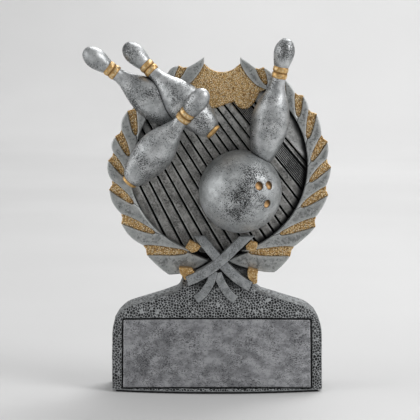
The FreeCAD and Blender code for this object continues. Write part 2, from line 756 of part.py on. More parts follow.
def make_ball(seat):
    """The ball, bedded on the lane, and the gold liner of each hole."""
    centre = Vector(size("ball_x"), size("ball_y"), size("ball_z"))
    radius = size("ball_radius")
    ball = DOC.addObject("Part::Sphere", "ball_whole")
    bind(ball, "Radius", "{ball_radius}")
    ball.Placement = Placement(centre, Rotation())
    DOC.recompute()
    ball = cleared(ball, [seat])
    for label, (x, z) in HOLES.items():
        out = Vector(x, -math.sqrt(radius ** 2 - x ** 2 - z ** 2), z).normalize()
        turn = Rotation(Vector(0, 0, 1), out)
        floor = centre + out * (radius - size("hole_depth"))
        drill = cylinder(label + "_drill", "{hole_radius}", "4 * {hole_depth}", Placement(floor, turn))
        plug = cylinder(label + "_plug", "{hole_radius}", "{hole_depth}", Placement(floor, turn))
        dish = DOC.addObject("Part::Sphere", label + "_dish")
        bind(dish, "Radius", "{dish_radius}")
        dish.Placement = Placement(centre + out * (radius + size("dish_lift")), Rotation())
        DOC.recompute()
        ball = boolean("Part::Cut", label + "_bored", ball, drill)
        keep(label, boolean("Part::Cut", label + "_cup", plug, dish))
    return keep("ball", ball)


# Regulation pin: height and diameter as shares of its 15 inch height.
PIN_SHAPE = [
    (0.000, 0.1353), (0.050, 0.1885), (0.150, 0.2604), (0.225, 0.3007), (0.300, 0.3177),
    (0.392, 0.3042), (0.483, 0.2469), (0.575, 0.1620), (0.630, 0.1230),
]
HEAD_SHAPE = [(0.842, 0.1604), (0.900, 0.1698), (0.957, 0.1330)]
NECK_SHARE = 0.113
# A point of the crown between the head's last height and its top: shares out and up.
CROWN = (0.52, 0.80)


def pin_radius(share):
    """Half a diameter given as a share of the pin's height."""
    return share / 2 * size("pin_length") * size("pin_girth")


def pin_outline(bottom):
    """Half the outline of a pin, from the height bottom up, with a seat for its band."""
    length = size("pin_length")
    neck = pin_radius(NECK_SHARE)
    low, high = size("band_bottom"), size("band_top")
    shape = [(pin_radius(d), h * length) for h, d in PIN_SHAPE]
    shape[0] = (shape[0][0], bottom)
    body = shape + [(neck, low)]
    head = [(neck + size("head_step"), high)] + [(pin_radius(d), h * length) for h, d in HEAD_SHAPE]
    edges = chain([(0, length), (0, bottom), body[0]]) + curve(body)
    edges += chain([(neck, low), (neck, high), head[0]]) + curve(head)
    side, rise = head[-1]
    crown = (CROWN[0] * side, rise + CROWN[1] * (length - rise))
    return edges + curve([head[-1], crown, (0, length)])


def band_outline():
    """Half the outline of a neck band: two rounded rings side by side."""
    neck = pin_radius(NECK_SHARE)
    low, high = size("band_bottom"), size("band_top")
    middle = (low + high) / 2
    thin = neck + size("band_edge")
    thick = neck + size("band_thickness")
    edges = chain([(thin, low), (neck, low), (neck, high), (thin, high)])
    edges += arc((thin, low), (thick, (low + middle) / 2), (thin, middle))
    edges += arc((thin, middle), (thick, (middle + high) / 2), (thin, high))
    return edges


def ring_outline():
    """Half the outline of the gold ring under a pin."""
    outer = pin_radius(PIN_SHAPE[0][1])
    thick = size("ring_thickness")
    return chain([(0, 0), (outer, 0), (outer, thick), (0, thick), (0, 0)])


# Each pin: middle of its base, top of its head, and whether its gold base ring shows.
PINS = {
    "pin_3": {"base": (-39.0, -5.6, 93.0), "head": (-4.4, -20.5, 134.6), "ring": True},
    "pin_2": {"base": (-1.2, -10.5, 115.4), "head": (-40.7, -2.5, 154.0), "ring": True},
    "pin_1": {"base": (-13.6, -2.0, 118.7), "head": (-59.2, -5.0, 151.9), "ring": False},
    "pin_4": {"base": (19.9, -3.6, 102.2), "head": (30.8, -9.6, 157.0), "ring": False},
}


def make_pins(seat):
    """Four pins, each a body with a gold neck band, cleared of what stands before it."""
    shown = [NODES["ball"]]
    relief_parts = [part for name, part in NODES.items()
                    if name.startswith(("back_plate", "leaf_", "gold_inlays", "crest_"))]
    for name, spec in PINS.items():
        base = Vector(*spec["base"])
        along = (Vector(*spec["head"]) - base).normalize()
        place = Placement(base, Rotation(Vector(0, 0, 1), along))
        bottom = size("ring_thickness") if spec["ring"] else 0.0
        pieces = {"_body": pin_outline(bottom), "_neck_band": band_outline()}
        if spec["ring"]:
            pieces["_base_ring"] = ring_outline()
        made = []
        for suffix, outline in pieces.items():
            piece = turned(name + suffix + "_whole", outline)
            piece.Placement = place
            DOC.recompute()
            made.append(keep(name + suffix, cleared(piece, [seat] + relief_parts + shown)))
        shown = made + shown


# ---------------------------------------------------------------- build, check and write
def check_document():
    """Stops at the first object that failed, and at any sub-part without a sound shape."""
    for thing in DOC.Objects:
        if "Invalid" in thing.State or "Error" in thing.State:
            raise RuntimeError("%s failed: %s" % (thing.Name, thing.State))
    for label, thing in NODES.items():
        if thing.Shape.isNull() or not thing.Shape.isValid() or thing.Shape.Volume < 1e-3:
            raise RuntimeError(label + " has no sound shape")


def write_parts():
    """Writes each sub-part to its own STEP file."""
    os.makedirs("parts", exist_ok=True)
    for label, thing in NODES.items():
        thing.Shape.exportStep("parts/%s.step" % label)
        print("%-24s solids %2d  volume %9.1f" % (label, len(thing.Shape.Solids), thing.Shape.Volume))


def main():
    """Makes every sub-part, checks the document and writes the files."""
    make_felt()
    make_base()
    make_panel()
    make_plate()
    make_wreath()
    make_crest()
    make_lane()
    make_ribbon()
    seat = seat_block()
    make_ball(seat)
    make_pins(seat)
    DOC.recompute()
    check_document()
    write_parts()


main()
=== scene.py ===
import math

import bmesh
import bpy
import numpy as np
from mathutils.kdtree import KDTree
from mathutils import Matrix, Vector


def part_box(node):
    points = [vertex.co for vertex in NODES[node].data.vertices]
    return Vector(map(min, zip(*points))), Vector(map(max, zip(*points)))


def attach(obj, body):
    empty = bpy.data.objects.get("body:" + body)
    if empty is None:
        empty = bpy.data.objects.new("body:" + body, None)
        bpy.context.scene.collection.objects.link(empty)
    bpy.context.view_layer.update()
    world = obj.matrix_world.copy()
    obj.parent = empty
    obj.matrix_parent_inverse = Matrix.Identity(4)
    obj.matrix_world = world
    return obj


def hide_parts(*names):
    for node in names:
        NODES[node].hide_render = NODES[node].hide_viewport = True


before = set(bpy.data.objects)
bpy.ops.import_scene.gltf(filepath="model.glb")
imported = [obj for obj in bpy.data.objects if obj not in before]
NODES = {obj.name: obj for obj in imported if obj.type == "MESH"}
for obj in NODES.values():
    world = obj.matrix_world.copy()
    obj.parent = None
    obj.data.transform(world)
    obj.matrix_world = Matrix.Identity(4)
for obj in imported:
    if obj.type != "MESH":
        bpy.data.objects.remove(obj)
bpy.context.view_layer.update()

SLOT_OF = {name: node.data.materials[0].name for name, node in NODES.items()}
MM = 0.001


# ---------------------------------------------------------------- number helpers
def eased(share):
    """A share from 0 to 1 that starts and ends gently."""
    return share * share * (3.0 - 2.0 * share)


def step_between(low, high, values):
    """0 below low, 1 above high, smooth between; low may be above high for the reverse."""
    return eased(np.clip((values - low) / (high - low), 0.0, 1.0))


def band(values, middle, half_width):
    """1 at the middle of a soft band and 0 away from it."""
    return np.exp(-((values - middle) / half_width) ** 2)


# Large odd numbers that scatter the bits of X, Y, Z and the seed, and then of what they make.
SCATTER = (73856093, 19349663, 83492791, 2654435761)
STIR = (2246822519, 3266489917)
LOW_32_BITS = 0xFFFFFFFF
LOW_24_BITS = 0xFFFFFF


def lattice(cells, seed):
    """A repeatable random number from 0 to 1 for each row of three whole numbers."""
    x, y, z = cells.T
    mixed = (x * SCATTER[0]) ^ (y * SCATTER[1]) ^ (z * SCATTER[2]) ^ (seed * SCATTER[3])
    mixed = (mixed ^ (mixed >> 15)) * STIR[0] & LOW_32_BITS
    mixed = (mixed ^ (mixed >> 13)) * STIR[1] & LOW_32_BITS
    return ((mixed ^ (mixed >> 16)) & LOW_24_BITS) / float(LOW_24_BITS)


def waves(points, length, seed):
    """Smooth noise from -1 to 1 with hills about length across."""
    spots = points / length
    cells = np.floor(spots).astype(np.int64)
    share = eased(spots - cells)
    total = np.zeros(len(points))
    for corner in np.ndindex(2, 2, 2):
        weight = np.prod(np.where(corner, share, 1.0 - share), axis=1)
        total += weight * lattice(cells + np.array(corner), seed)
    return 2.0 * total - 1.0


# Further, in grain lengths, than any grain's centre can be.
FARTHEST = 9.0


def grains(points, length, seed, weights=(1.0, 1.0, 1.0)):
    """Distances, in grain lengths, to the nearest and second nearest of scattered centres.

    A weight below 1 draws the grains out along its axis, and a weight of 0 leaves the axis out.
    """
    used = np.array(weights) > 0
    spots = points * weights / length
    cells = np.floor(spots).astype(np.int64)
    first = np.full(len(points), FARTHEST)
    second = np.full(len(points), FARTHEST)
    for offset in np.ndindex(*np.where(used, 3, 1)):
        cell = cells + np.array(offset) - used
        centre = cell + np.stack([lattice(cell, seed + axis) for axis in range(3)], axis=1)
        gap = np.linalg.norm((spots - centre) * used, axis=1)
        second = np.minimum(second, np.maximum(first, gap))
        first = np.minimum(first, gap)
    return first, second


# ---------------------------------------------------------------- skins
# Vertices closer than this, in metres, are one vertex.
SAME_SPOT = 1e-7
# How far apart a node's outline is sampled, and how level its front face is.
OUTLINE_STEP = 0.1
LEVEL_WITHIN = 0.01
# How much of its full amount something stands out or lies in before it starts to be worn.
WEAR_START = 0.25


class Skin:
    """A piece's mesh as arrays in mm, with what its paint needs to know at each point."""

    def __init__(self, piece):
        self.piece = piece
        mesh = piece.data
        self.points = np.zeros(len(mesh.vertices) * 3)
        mesh.vertices.foreach_get("co", self.points)
        self.points = self.points.reshape(-1, 3) / MM
        ends = np.zeros(len(mesh.edges) * 2, dtype=np.int64)
        mesh.edges.foreach_get("vertices", ends)
        self.ends = ends.reshape(-1, 2)
        self.wash_and_shade = np.zeros(len(self.points))
        self.rub_and_light = np.zeros(len(self.points))
        self.stain_and_shade = np.zeros(len(self.points))
        self.refresh()

    def refresh(self):
        """Writes the points to the mesh and reads its normals again."""
        mesh = self.piece.data
        mesh.vertices.foreach_set("co", (self.points * MM).ravel())
        mesh.update()
        normals = np.zeros(len(mesh.vertices) * 3)
        mesh.vertices.foreach_get("normal", normals)
        self.normals = normals.reshape(-1, 3)

    def neighbours_mean(self, values):
        """The mean of each point's neighbours."""
        count = len(self.points)
        both = np.concatenate([self.ends[:, 0], self.ends[:, 1]])
        other = np.concatenate([self.ends[:, 1], self.ends[:, 0]])
        total = np.stack([np.bincount(both, values[other, axis], count)
                          for axis in range(values.shape[1])], axis=1)
        return total / np.maximum(np.bincount(both, minlength=count), 1)[:, None]

    def relaxed(self, rounds):
        """The points after some rounds of smoothing."""
        points = self.points
        for _ in range(rounds):
            points = 0.5 * points + 0.5 * self.neighbours_mean(points)
        return points

    def fair(self, rounds):
        """Softens the skin, as a mould and paint soften a casting."""
        self.points = self.relaxed(rounds)
        self.refresh()

    def push(self, heights):
        """Moves each point out along its normal."""
        self.points = self.points + self.normals * heights[:, None]
        self.refresh()

    def shift_front(self, heights):
        """Moves each point forward, towards -Y."""
        self.points[:, 1] -= heights
        self.refresh()

    def facing_front(self, low=0.3, high=0.8):
        """1 where the skin faces forward and 0 where it doesn't."""
        return step_between(low, high, -self.normals[:, 1])

    def wear(self, rounds, edge, crease):
        """Rubs what stands out by edge mm, and lets the dark wash settle in crease mm hollows."""
        out = ((self.points - self.relaxed(rounds)) * self.normals).sum(axis=1)
        self.rub_and_light = np.maximum(self.rub_and_light, step_between(WEAR_START * edge, edge, out))
        self.wash_and_shade = np.maximum(self.wash_and_shade, step_between(WEAR_START * crease, crease, -out))

    def about_short_axis(self):
        """Each point's place from the skin's middle, and its part along the axis of least spread.

        Also returns how far the point is from that axis, and the axis itself.
        """
        offset = self.points - self.points.mean(axis=0)
        _, directions = np.linalg.eigh(np.cov(offset.T))
        axis = directions[:, 0]
        along = offset @ axis
        out = np.linalg.norm(offset - along[:, None] * axis, axis=1)
        return offset, along, out, axis

    def varied(self, mean, swing, length, seed):
        """A value for each point that wanders about a mean by as much as swing."""
        return mean + swing * waves(self.points, length, seed)

    def lumps(self, height, length, seed):
        """The slight unevenness of a casting."""
        self.push(height * waves(self.points, length, seed))

    def finish(self, body="root"):
        """Stores the paint's values on the mesh and ties the piece to the frame."""
        for name, values in (("wash_and_shade", self.wash_and_shade), ("rub_and_light", self.rub_and_light), ("stain_and_shade", self.stain_and_shade)):
            attribute = self.piece.data.attributes.new(name, "FLOAT", "POINT")
            attribute.data.foreach_set("value", np.clip(values, 0, 1).astype(np.float32))
        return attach(self.piece, body)


def new_piece(name, mesh):
    """An object in the scene, smooth shaded."""
    piece = bpy.data.objects.new(name, mesh)
    bpy.context.scene.collection.objects.link(piece)
    mesh.polygons.foreach_set("use_smooth", [True] * len(mesh.polygons))
    return piece


def evaluated_mesh(piece):
    """A new mesh with a piece's modifiers applied, which are then taken off it."""
    evaluated = piece.evaluated_get(bpy.context.evaluated_depsgraph_get())
    mesh = bpy.data.meshes.new_from_object(evaluated)
    piece.modifiers.clear()
    return mesh


def welded(node):
    """A CAD node's mesh, open to editing, with its faces joined up."""
    build = bmesh.new()
    build.from_mesh(NODES[node].data)
    bmesh.ops.remove_doubles(build, verts=build.verts, dist=SAME_SPOT)
    return build


def cast(node, voxel, fairing):
    """A skin of even faces, voxel across, with the form of a CAD node."""
    build = welded(node)
    mesh = bpy.data.meshes.new(node + "_cast")
    build.to_mesh(mesh)
    build.free()
    piece = new_piece(node + "_cast", mesh)
    remesh = piece.modifiers.new("skin", "REMESH")
    remesh.mode = "VOXEL"
    remesh.voxel_size = voxel * MM
    remesh.use_smooth_shade = True
    piece.data = evaluated_mesh(piece)
    bpy.data.meshes.remove(mesh)
    skin = Skin(piece)
    skin.fair(fairing)
    return skin


def stand_for(skin, node, material):
    """Finishes a skin as the looks of one CAD node."""
    piece = skin.finish()
    piece.data.materials.clear()
    piece.data.materials.append(material)
    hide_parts(node)
    return piece


def outline_distance(node, skin):
    """How far each point lies, seen from the front, from the outline of a node's front face."""
    build = welded(node)
    front = min(v.co.y for v in build.verts)
    flat = {f for f in build.faces if all(v.co.y < front + LEVEL_WITHIN * MM for v in f.verts)}
    spots = []
    for edge in build.edges:
        if sum(f in flat for f in edge.link_faces) != 1:
            continue
        start, end = (np.array(v.co) / MM for v in edge.verts)
        count = max(2, int(np.linalg.norm(end - start) / OUTLINE_STEP))
        spots += [start + (end - start) * k / count for k in range(count)]
    build.free()
    tree = KDTree(len(spots))
    for index, spot in enumerate(spots):
        tree.insert((spot[0], 0.0, spot[2]), index)
    tree.balance()
    return np.array([tree.find((x, 0.0, z))[2] for x, _, z in skin.points])


# ---------------------------------------------------------------- paints
# How open a spot is at the start of a crevice and deep in it, and the rays that measure that.
CREVICE_SPAN = (0.72, 0.25)
CREVICE_RAYS = 8
# Levels of noise at which the antique paints' patches, zones, specks and smudges start and end.
PATCH_SPAN = (0.36, 0.64)
ZONE_SPAN = (0.35, 0.65)
SPECK_SPAN = (0.60, 0.74)
SMUDGE_SPAN = (0.42, 0.66)
# Sizes of the zones, smudges, grain and bumps.
ZONE_LENGTH = 7.0
SMUDGE_LENGTH = 2.6
GRAIN_LENGTH = 0.5
BUMP_LENGTH = 0.45
# How much of the rubbed shade shows where the skin is fully rubbed or fully given painted light.
RUBBED_SHARE = 0.9
# How much a zone adds to the level of the specks' noise, and how much full staining and painted
# shade do.
ZONE_SPECKS = 0.08
STAIN_AND_SHADE_SPECKS = 0.15
# How dark the smudges of full staining and painted shade are, and the depth of a crevice's wash and
# painted shade.
STAIN_AND_SHADE_SMUDGES = 0.55
CREVICE_WASH_AND_SHADE = 0.85
# How much rougher than the paint the wash is, and how much of that its grain has.
WASH_ROUGHER = 0.3
GRAIN_ROUGHER = 0.4


def tone(red, green, blue):
    """A colour from its 0 to 255 screen values."""
    def linear(value):
        # The sRGB curve.
        value = value / 255.0
        return value / 12.92 if value < 0.04045 else ((value + 0.055) / 1.055) ** 2.4
    return (linear(red), linear(green), linear(blue), 1.0)


class Paint:
    """A node material that is put together a node at a time."""

    def __init__(self, name):
        self.material = bpy.data.materials.new(name)
        self.material.use_nodes = True
        self.tree = self.material.node_tree
        self.shader = self.tree.nodes["Principled BSDF"]

    def link(self, value, socket):
        """Puts a value, or another node's output, into an input."""
        if isinstance(value, bpy.types.NodeSocket):
            self.tree.links.new(value, socket)
        else:
            socket.default_value = value

    def node(self, kind, settings, **inputs):
        """A node with its settings, and its inputs by name."""
        made = self.tree.nodes.new("ShaderNode" + kind)
        for key, value in settings.items():
            setattr(made, key, value)
        for key, value in inputs.items():
            self.link(value, made.inputs[key.replace("_", " ")])
        return made

    def attribute(self, name):
        """One of the values that a skin stores."""
        return self.node("Attribute", {"attribute_name": name}).outputs["Fac"]

    def place(self, stretch=(1.0, 1.0, 1.0)):
        """The place on the piece in mm, squeezed by stretch."""
        spot = self.node("TexCoord", {}).outputs["Object"]
        scaled = self.node("VectorMath", {"operation": "MULTIPLY"})
        self.link(spot, scaled.inputs[0])
        self.link(tuple(s / MM for s in stretch), scaled.inputs[1])
        return scaled.outputs[0]

    def noise(self, length, detail=3.0, rough=0.55, stretch=(1.0, 1.0, 1.0)):
        """Noise with features about length across, in mm."""
        made = self.node("TexNoise", {}, Vector=self.place(stretch), Scale=1.0 / length,
                         Detail=detail, Roughness=rough)
        return made.outputs["Fac"]

    def ramp(self, value, low, high, start=0.0, end=1.0):
        """A value mapped from low..high to start..end, smoothly and within its ends."""
        made = self.node("MapRange", {"interpolation_type": "SMOOTHSTEP"}, Value=value,
                         From_Min=low, From_Max=high, To_Min=start, To_Max=end)
        return made.outputs[0]

    def maths(self, operation, first, second):
        """Two numbers put together, kept from 0 to 1."""
        made = self.node("Math", {"operation": operation, "use_clamp": True})
        self.link(first, made.inputs[0])
        self.link(second, made.inputs[1])
        return made.outputs[0]

    def mix(self, share, first, second):
        """One colour passing into another."""
        # The colours of a Mix node are its inputs 6 and 7, and its output 2.
        made = self.node("Mix", {"data_type": "RGBA"})
        self.link(share, made.inputs[0])
        self.link(first, made.inputs[6])
        self.link(second, made.inputs[7])
        return made.outputs[2]

    def crevice(self, reach):
        """1 deep in a crevice between pieces and 0 in the open, where wash and painted shade go."""
        made = self.node("AmbientOcclusion", {"samples": CREVICE_RAYS}, Distance=reach * MM)
        return self.ramp(made.outputs["AO"], *CREVICE_SPAN)

    def bump(self, height, distance, strength):
        """Gives the shader a fine surface."""
        made = self.node("Bump", {}, Height=height, Distance=distance * MM, Strength=strength)
        self.link(made.outputs[0], self.shader.inputs["Normal"])


def antique(name, shades, metallic, roughness, speckle, mottle, reach=1.6,
            stretch=(1.0, 1.0, 1.0)):
    """Metal paint, rubbed bright on its edges, over a dark wash that stays in the hollows, with
    painted shade and light.

    shades holds the wash, also used for painted shade, the duller and the brighter paint, and the
    rubbed edge, also used for painted light. speckle is the size and the amount of the dark specks,
    mottle the size of the paint's uneven patches, and reach how wide a crevice between pieces can
    be that holds the wash and painted shade.
    """
    wash, dull, bright, rubbed = shades
    size, amount = speckle
    paint = Paint(name)
    # Stains, together with the painted shade that is stored with them.
    stain_and_shade = paint.attribute("stain_and_shade")
    patches = paint.noise(mottle, detail=6.0, rough=0.72, stretch=stretch)
    colour = paint.mix(paint.ramp(patches, *PATCH_SPAN), dull, bright)
    # Rubbed edges and painted light, both in the rubbed shade.
    worn = paint.maths("MULTIPLY", paint.attribute("rub_and_light"), RUBBED_SHARE)
    colour = paint.mix(worn, colour, rubbed)
    zones = paint.ramp(paint.noise(ZONE_LENGTH, detail=2.0), *ZONE_SPAN)
    level = paint.noise(size, detail=3.0, rough=0.7, stretch=stretch)
    level = paint.maths("ADD", level, paint.maths("MULTIPLY", zones, ZONE_SPECKS))
    level = paint.maths("ADD", level, paint.maths("MULTIPLY", stain_and_shade, STAIN_AND_SHADE_SPECKS))
    specks = paint.maths("MULTIPLY", paint.ramp(level, *SPECK_SPAN), amount)
    smudges = paint.ramp(paint.noise(SMUDGE_LENGTH, detail=3.0, rough=0.6), *SMUDGE_SPAN)
    smudges = paint.maths("MULTIPLY", smudges, paint.maths("MULTIPLY", stain_and_shade, STAIN_AND_SHADE_SMUDGES))
    # Dark wash and painted shade in the crevices between pieces.
    creviced_wash_and_shade = paint.maths("MULTIPLY", paint.crevice(reach), CREVICE_WASH_AND_SHADE)
    dark = paint.maths("MAXIMUM", paint.attribute("wash_and_shade"), creviced_wash_and_shade)
    dark = paint.maths("MAXIMUM", dark, paint.maths("MAXIMUM", specks, smudges))
    paint.link(paint.mix(dark, colour, wash), paint.shader.inputs["Base Color"])
    paint.shader.inputs["Metallic"].default_value = metallic
    grain = paint.maths("MULTIPLY", paint.noise(GRAIN_LENGTH, detail=2.0), GRAIN_ROUGHER)
    rough = paint.ramp(paint.maths("MAXIMUM", dark, grain), 0.0, 1.0, roughness,
                       min(1.0, roughness + WASH_ROUGHER))
    paint.link(rough, paint.shader.inputs["Roughness"])
    paint.bump(paint.noise(BUMP_LENGTH, detail=3.0, rough=0.6), distance=0.05, strength=0.35)
    return paint.material


# The darkest tones are the dark wash, and also paint shade.
BLACK_WASH_AND_SHADE = tone(24, 24, 25)
BROWN_WASH_AND_SHADE = tone(92, 62, 34)
SILVER = (BLACK_WASH_AND_SHADE, tone(158, 161, 160), tone(186, 188, 187), tone(226, 228, 228))
RIBBON_SILVER = (BLACK_WASH_AND_SHADE, tone(146, 149, 151), tone(170, 173, 174), tone(205, 207, 208))
PALE_SILVER = (BLACK_WASH_AND_SHADE, tone(164, 167, 168), tone(206, 208, 209), tone(236, 238, 239))
BALL_SILVER = (BLACK_WASH_AND_SHADE, tone(166, 169, 170), tone(204, 207, 208), tone(240, 241, 241))
STONE_SILVER = (BLACK_WASH_AND_SHADE, tone(126, 129, 130), tone(150, 153, 154), tone(206, 208, 210))
PANEL_SILVER = (tone(62, 62, 65), tone(128, 129, 132), tone(176, 177, 180), tone(206, 208, 210))
LANE_SILVER = (BLACK_WASH_AND_SHADE, tone(128, 127, 124), tone(170, 169, 166), tone(222, 223, 222))
GUTTER_SILVER = (BLACK_WASH_AND_SHADE, tone(180, 181, 180), tone(220, 221, 220), tone(244, 244, 243))
BACK_SILVER = (BLACK_WASH_AND_SHADE, tone(96, 98, 99), tone(120, 122, 123), tone(165, 167, 168))
GRAIN_GOLD = (tone(106, 74, 42), tone(222, 180, 118), tone(244, 208, 146), tone(255, 250, 226))
GOLD = (BROWN_WASH_AND_SHADE, tone(190, 150, 94), tone(226, 188, 128), tone(252, 236, 196))
FINGER_GOLD = (tone(58, 42, 28), tone(186, 146, 98), tone(206, 166, 116), tone(240, 212, 170))

PAINTS = {
    "silver_leaf": antique("silver_leaf_paint", SILVER, metallic=0.7, roughness=0.46,
                           speckle=(0.9, 0.5), mottle=4.0, reach=1.2),
    "ribbon_silver": antique("ribbon_paint", RIBBON_SILVER, metallic=0.55, roughness=0.55,
                             speckle=(0.6, 0.5), mottle=3.0, reach=1.0),
    "speckled_silver": antique("pin_paint", PALE_SILVER, metallic=0.85, roughness=0.43,
                               speckle=(0.55, 0.8), mottle=6.0, reach=2.4),
    "ball_silver": antique("ball_paint", BALL_SILVER, metallic=0.8, roughness=0.5,
                           speckle=(0.55, 0.9), mottle=6.0, reach=2.4),
    "pebbled_base": antique("base_paint", STONE_SILVER, metallic=0.6, roughness=0.5,
                            speckle=(0.6, 0.3), mottle=6.0),
    "smooth_panel": antique("panel_paint", PANEL_SILVER, metallic=0.6, roughness=0.5,
                            speckle=(0.42, 0.8), mottle=4.0, reach=0.8, stretch=(0.6, 1.0, 1.0)),
    "lane_silver": antique("lane_paint", LANE_SILVER, metallic=0.6, roughness=0.5,
                           speckle=(0.7, 0.6), mottle=2.2, reach=1.0),
    "gutter_silver": antique("gutter_paint", GUTTER_SILVER, metallic=0.6, roughness=0.5,
                             speckle=(0.5, 0.6), mottle=2.2, reach=0.6),
    "gold_pebbled": antique("pebbled_gold_paint", GRAIN_GOLD, metallic=0.75, roughness=0.38,
                            speckle=(0.5, 0.1), mottle=2.0, reach=1.0),
    "gold_smooth": antique("smooth_gold_paint", GOLD, metallic=0.8, roughness=0.42,
                           speckle=(0.5, 0.5), mottle=1.0, reach=0.8),
    "finger_gold": antique("finger_hole_paint", FINGER_GOLD, metallic=0.7, roughness=0.5,
                           speckle=(0.5, 0.3), mottle=1.0, reach=0.5),
    "dark_back": antique("back_paint", BACK_SILVER, metallic=0.5, roughness=0.55,
                         speckle=(0.9, 0.6), mottle=10.0),
}


def felt_paint():
    """Black felt with short, uneven pile."""
    paint = Paint("felt_paint")
    tufts = paint.noise(0.8, detail=5.0, rough=0.7)
    colour = paint.mix(tufts, tone(14, 14, 16), tone(52, 52, 56))
    paint.link(colour, paint.shader.inputs["Base Color"])
    paint.shader.inputs["Roughness"].default_value = 0.95
    paint.shader.inputs["Sheen Weight"].default_value = 0.4
    paint.bump(tufts, distance=0.25, strength=0.8)
    return paint.material


PAINTS["felt"] = felt_paint()


# ---------------------------------------------------------------- felt, base, panel and back
# Height of the felt's pile. Near the ground there is none, so that the pad stands flat.
FELT_PILE = 0.06
PILE_ABOVE = (0.0, 0.4)


def make_felt():
    """The pad under the base."""
    skin = cast("felt_pad", voxel=0.5, fairing=1)
    inside = step_between(*PILE_ABOVE, skin.points[:, 2])
    skin.push(FELT_PILE * inside * waves(skin.points, length=0.9, seed=3))
    stand_for(skin, "felt_pad", PAINTS["felt"])


# About how many triangles the base's mesh keeps.
BASE_TRIANGLES = 190000
# Points that are shown less than this, or this far in from the panel's edges, are out of sight.
HIDDEN_SHARE = 0.05
BEHIND_PANEL = 1.0
# Points that face forward less than this may lose faces too, this readily against hidden ones.
SIDE_FRONTNESS = 0.2
SIDE_THINNING = 0.1
# Size and depth of the pits in the base.
PIT_LENGTH = 1.14
PIT_DEPTH = 0.34
# Seed, and weights of X, Y and Z, of the pits in front, of the furrows along the shoulders, and of
# the pits on the sides.
FRONT_PITS = (11, (1.0, 0.0, 1.0))
SHOULDER_PITS = (14, (0.7, 0.2, 0.7))
SIDE_PITS = (17, (0.0, 1.0, 1.0))
# By how much, in grain lengths, one grain centre is nearer than the next where a pit starts and
# where it is at its deepest.
PIT_SPAN = (0.10, 0.30)
# The pits fade in above the felt and before the back.
PITS_ABOVE = (0.2, 0.6)
PITS_BEFORE = (0.3, 1.0)
# How squarely the skin faces forward on the front, and upward on a shoulder.
FRONT_SPAN = (0.45, 0.85)
SHOULDER_SPAN = (0.3, 0.7)
# Shares of the pits' depth, and of the wash in them, on every side and added to that in front.
PIT_DEPTHS = (0.6, 0.4)
PIT_WASHES = (0.7, 0.3)
# Unevenness of the base.
BASE_LUMPS = 0.12
# The neck, up to where the ribbon is tied, is darker in front.
NECK_SPAN = (43.0, 54.0)
NECK_DARKENING = 0.75
# The margins beside the panel hold more of the wash, from this far out.
MARGIN_SPAN = (36.0, 43.0)
MARGIN_WASH = 0.18
# How stained the shoulders and sides are, how rubbed the metal between the pits in front is, and
# how much less rubbed the front's edges are than other edges.
SIDE_STAIN = 0.6
FRONT_RUB = 0.5
FRONT_EDGE_LOSS = 0.6


def thinned(piece, levels, triangles):
    """Merges faces until about so many triangles are left, first where a share is highest.

    levels pairs a share from 0 to 1 with the points, as true or false, that it holds for.
    """
    group = piece.vertex_groups.new(name="plain")
    for share, chosen in levels:
        group.add([int(i) for i in np.nonzero(chosen)[0]], share, "REPLACE")
    thin = piece.modifiers.new("thin", "DECIMATE")
    # The faces are still quads, of two triangles each.
    thin.ratio = min(1.0, triangles / (2.0 * len(piece.data.polygons)))
    thin.vertex_group = "plain"
    mesh = evaluated_mesh(piece)
    piece.vertex_groups.clear()
    old = piece.data
    piece.data = mesh
    bpy.data.meshes.remove(old)


def pitted(skin, front, shoulder):
    """1 on the floor of a pit and 0 on the metal between pits, whichever way the skin faces."""
    pits = np.zeros(len(skin.points))
    for (seed, weights), share in ((FRONT_PITS, front), (SHOULDER_PITS, shoulder),
                                   (SIDE_PITS, 1.0 - front - shoulder)):
        first, second = grains(skin.points, PIT_LENGTH, seed, weights)
        pits += share * step_between(*PIT_SPAN, second - first)
    return pits


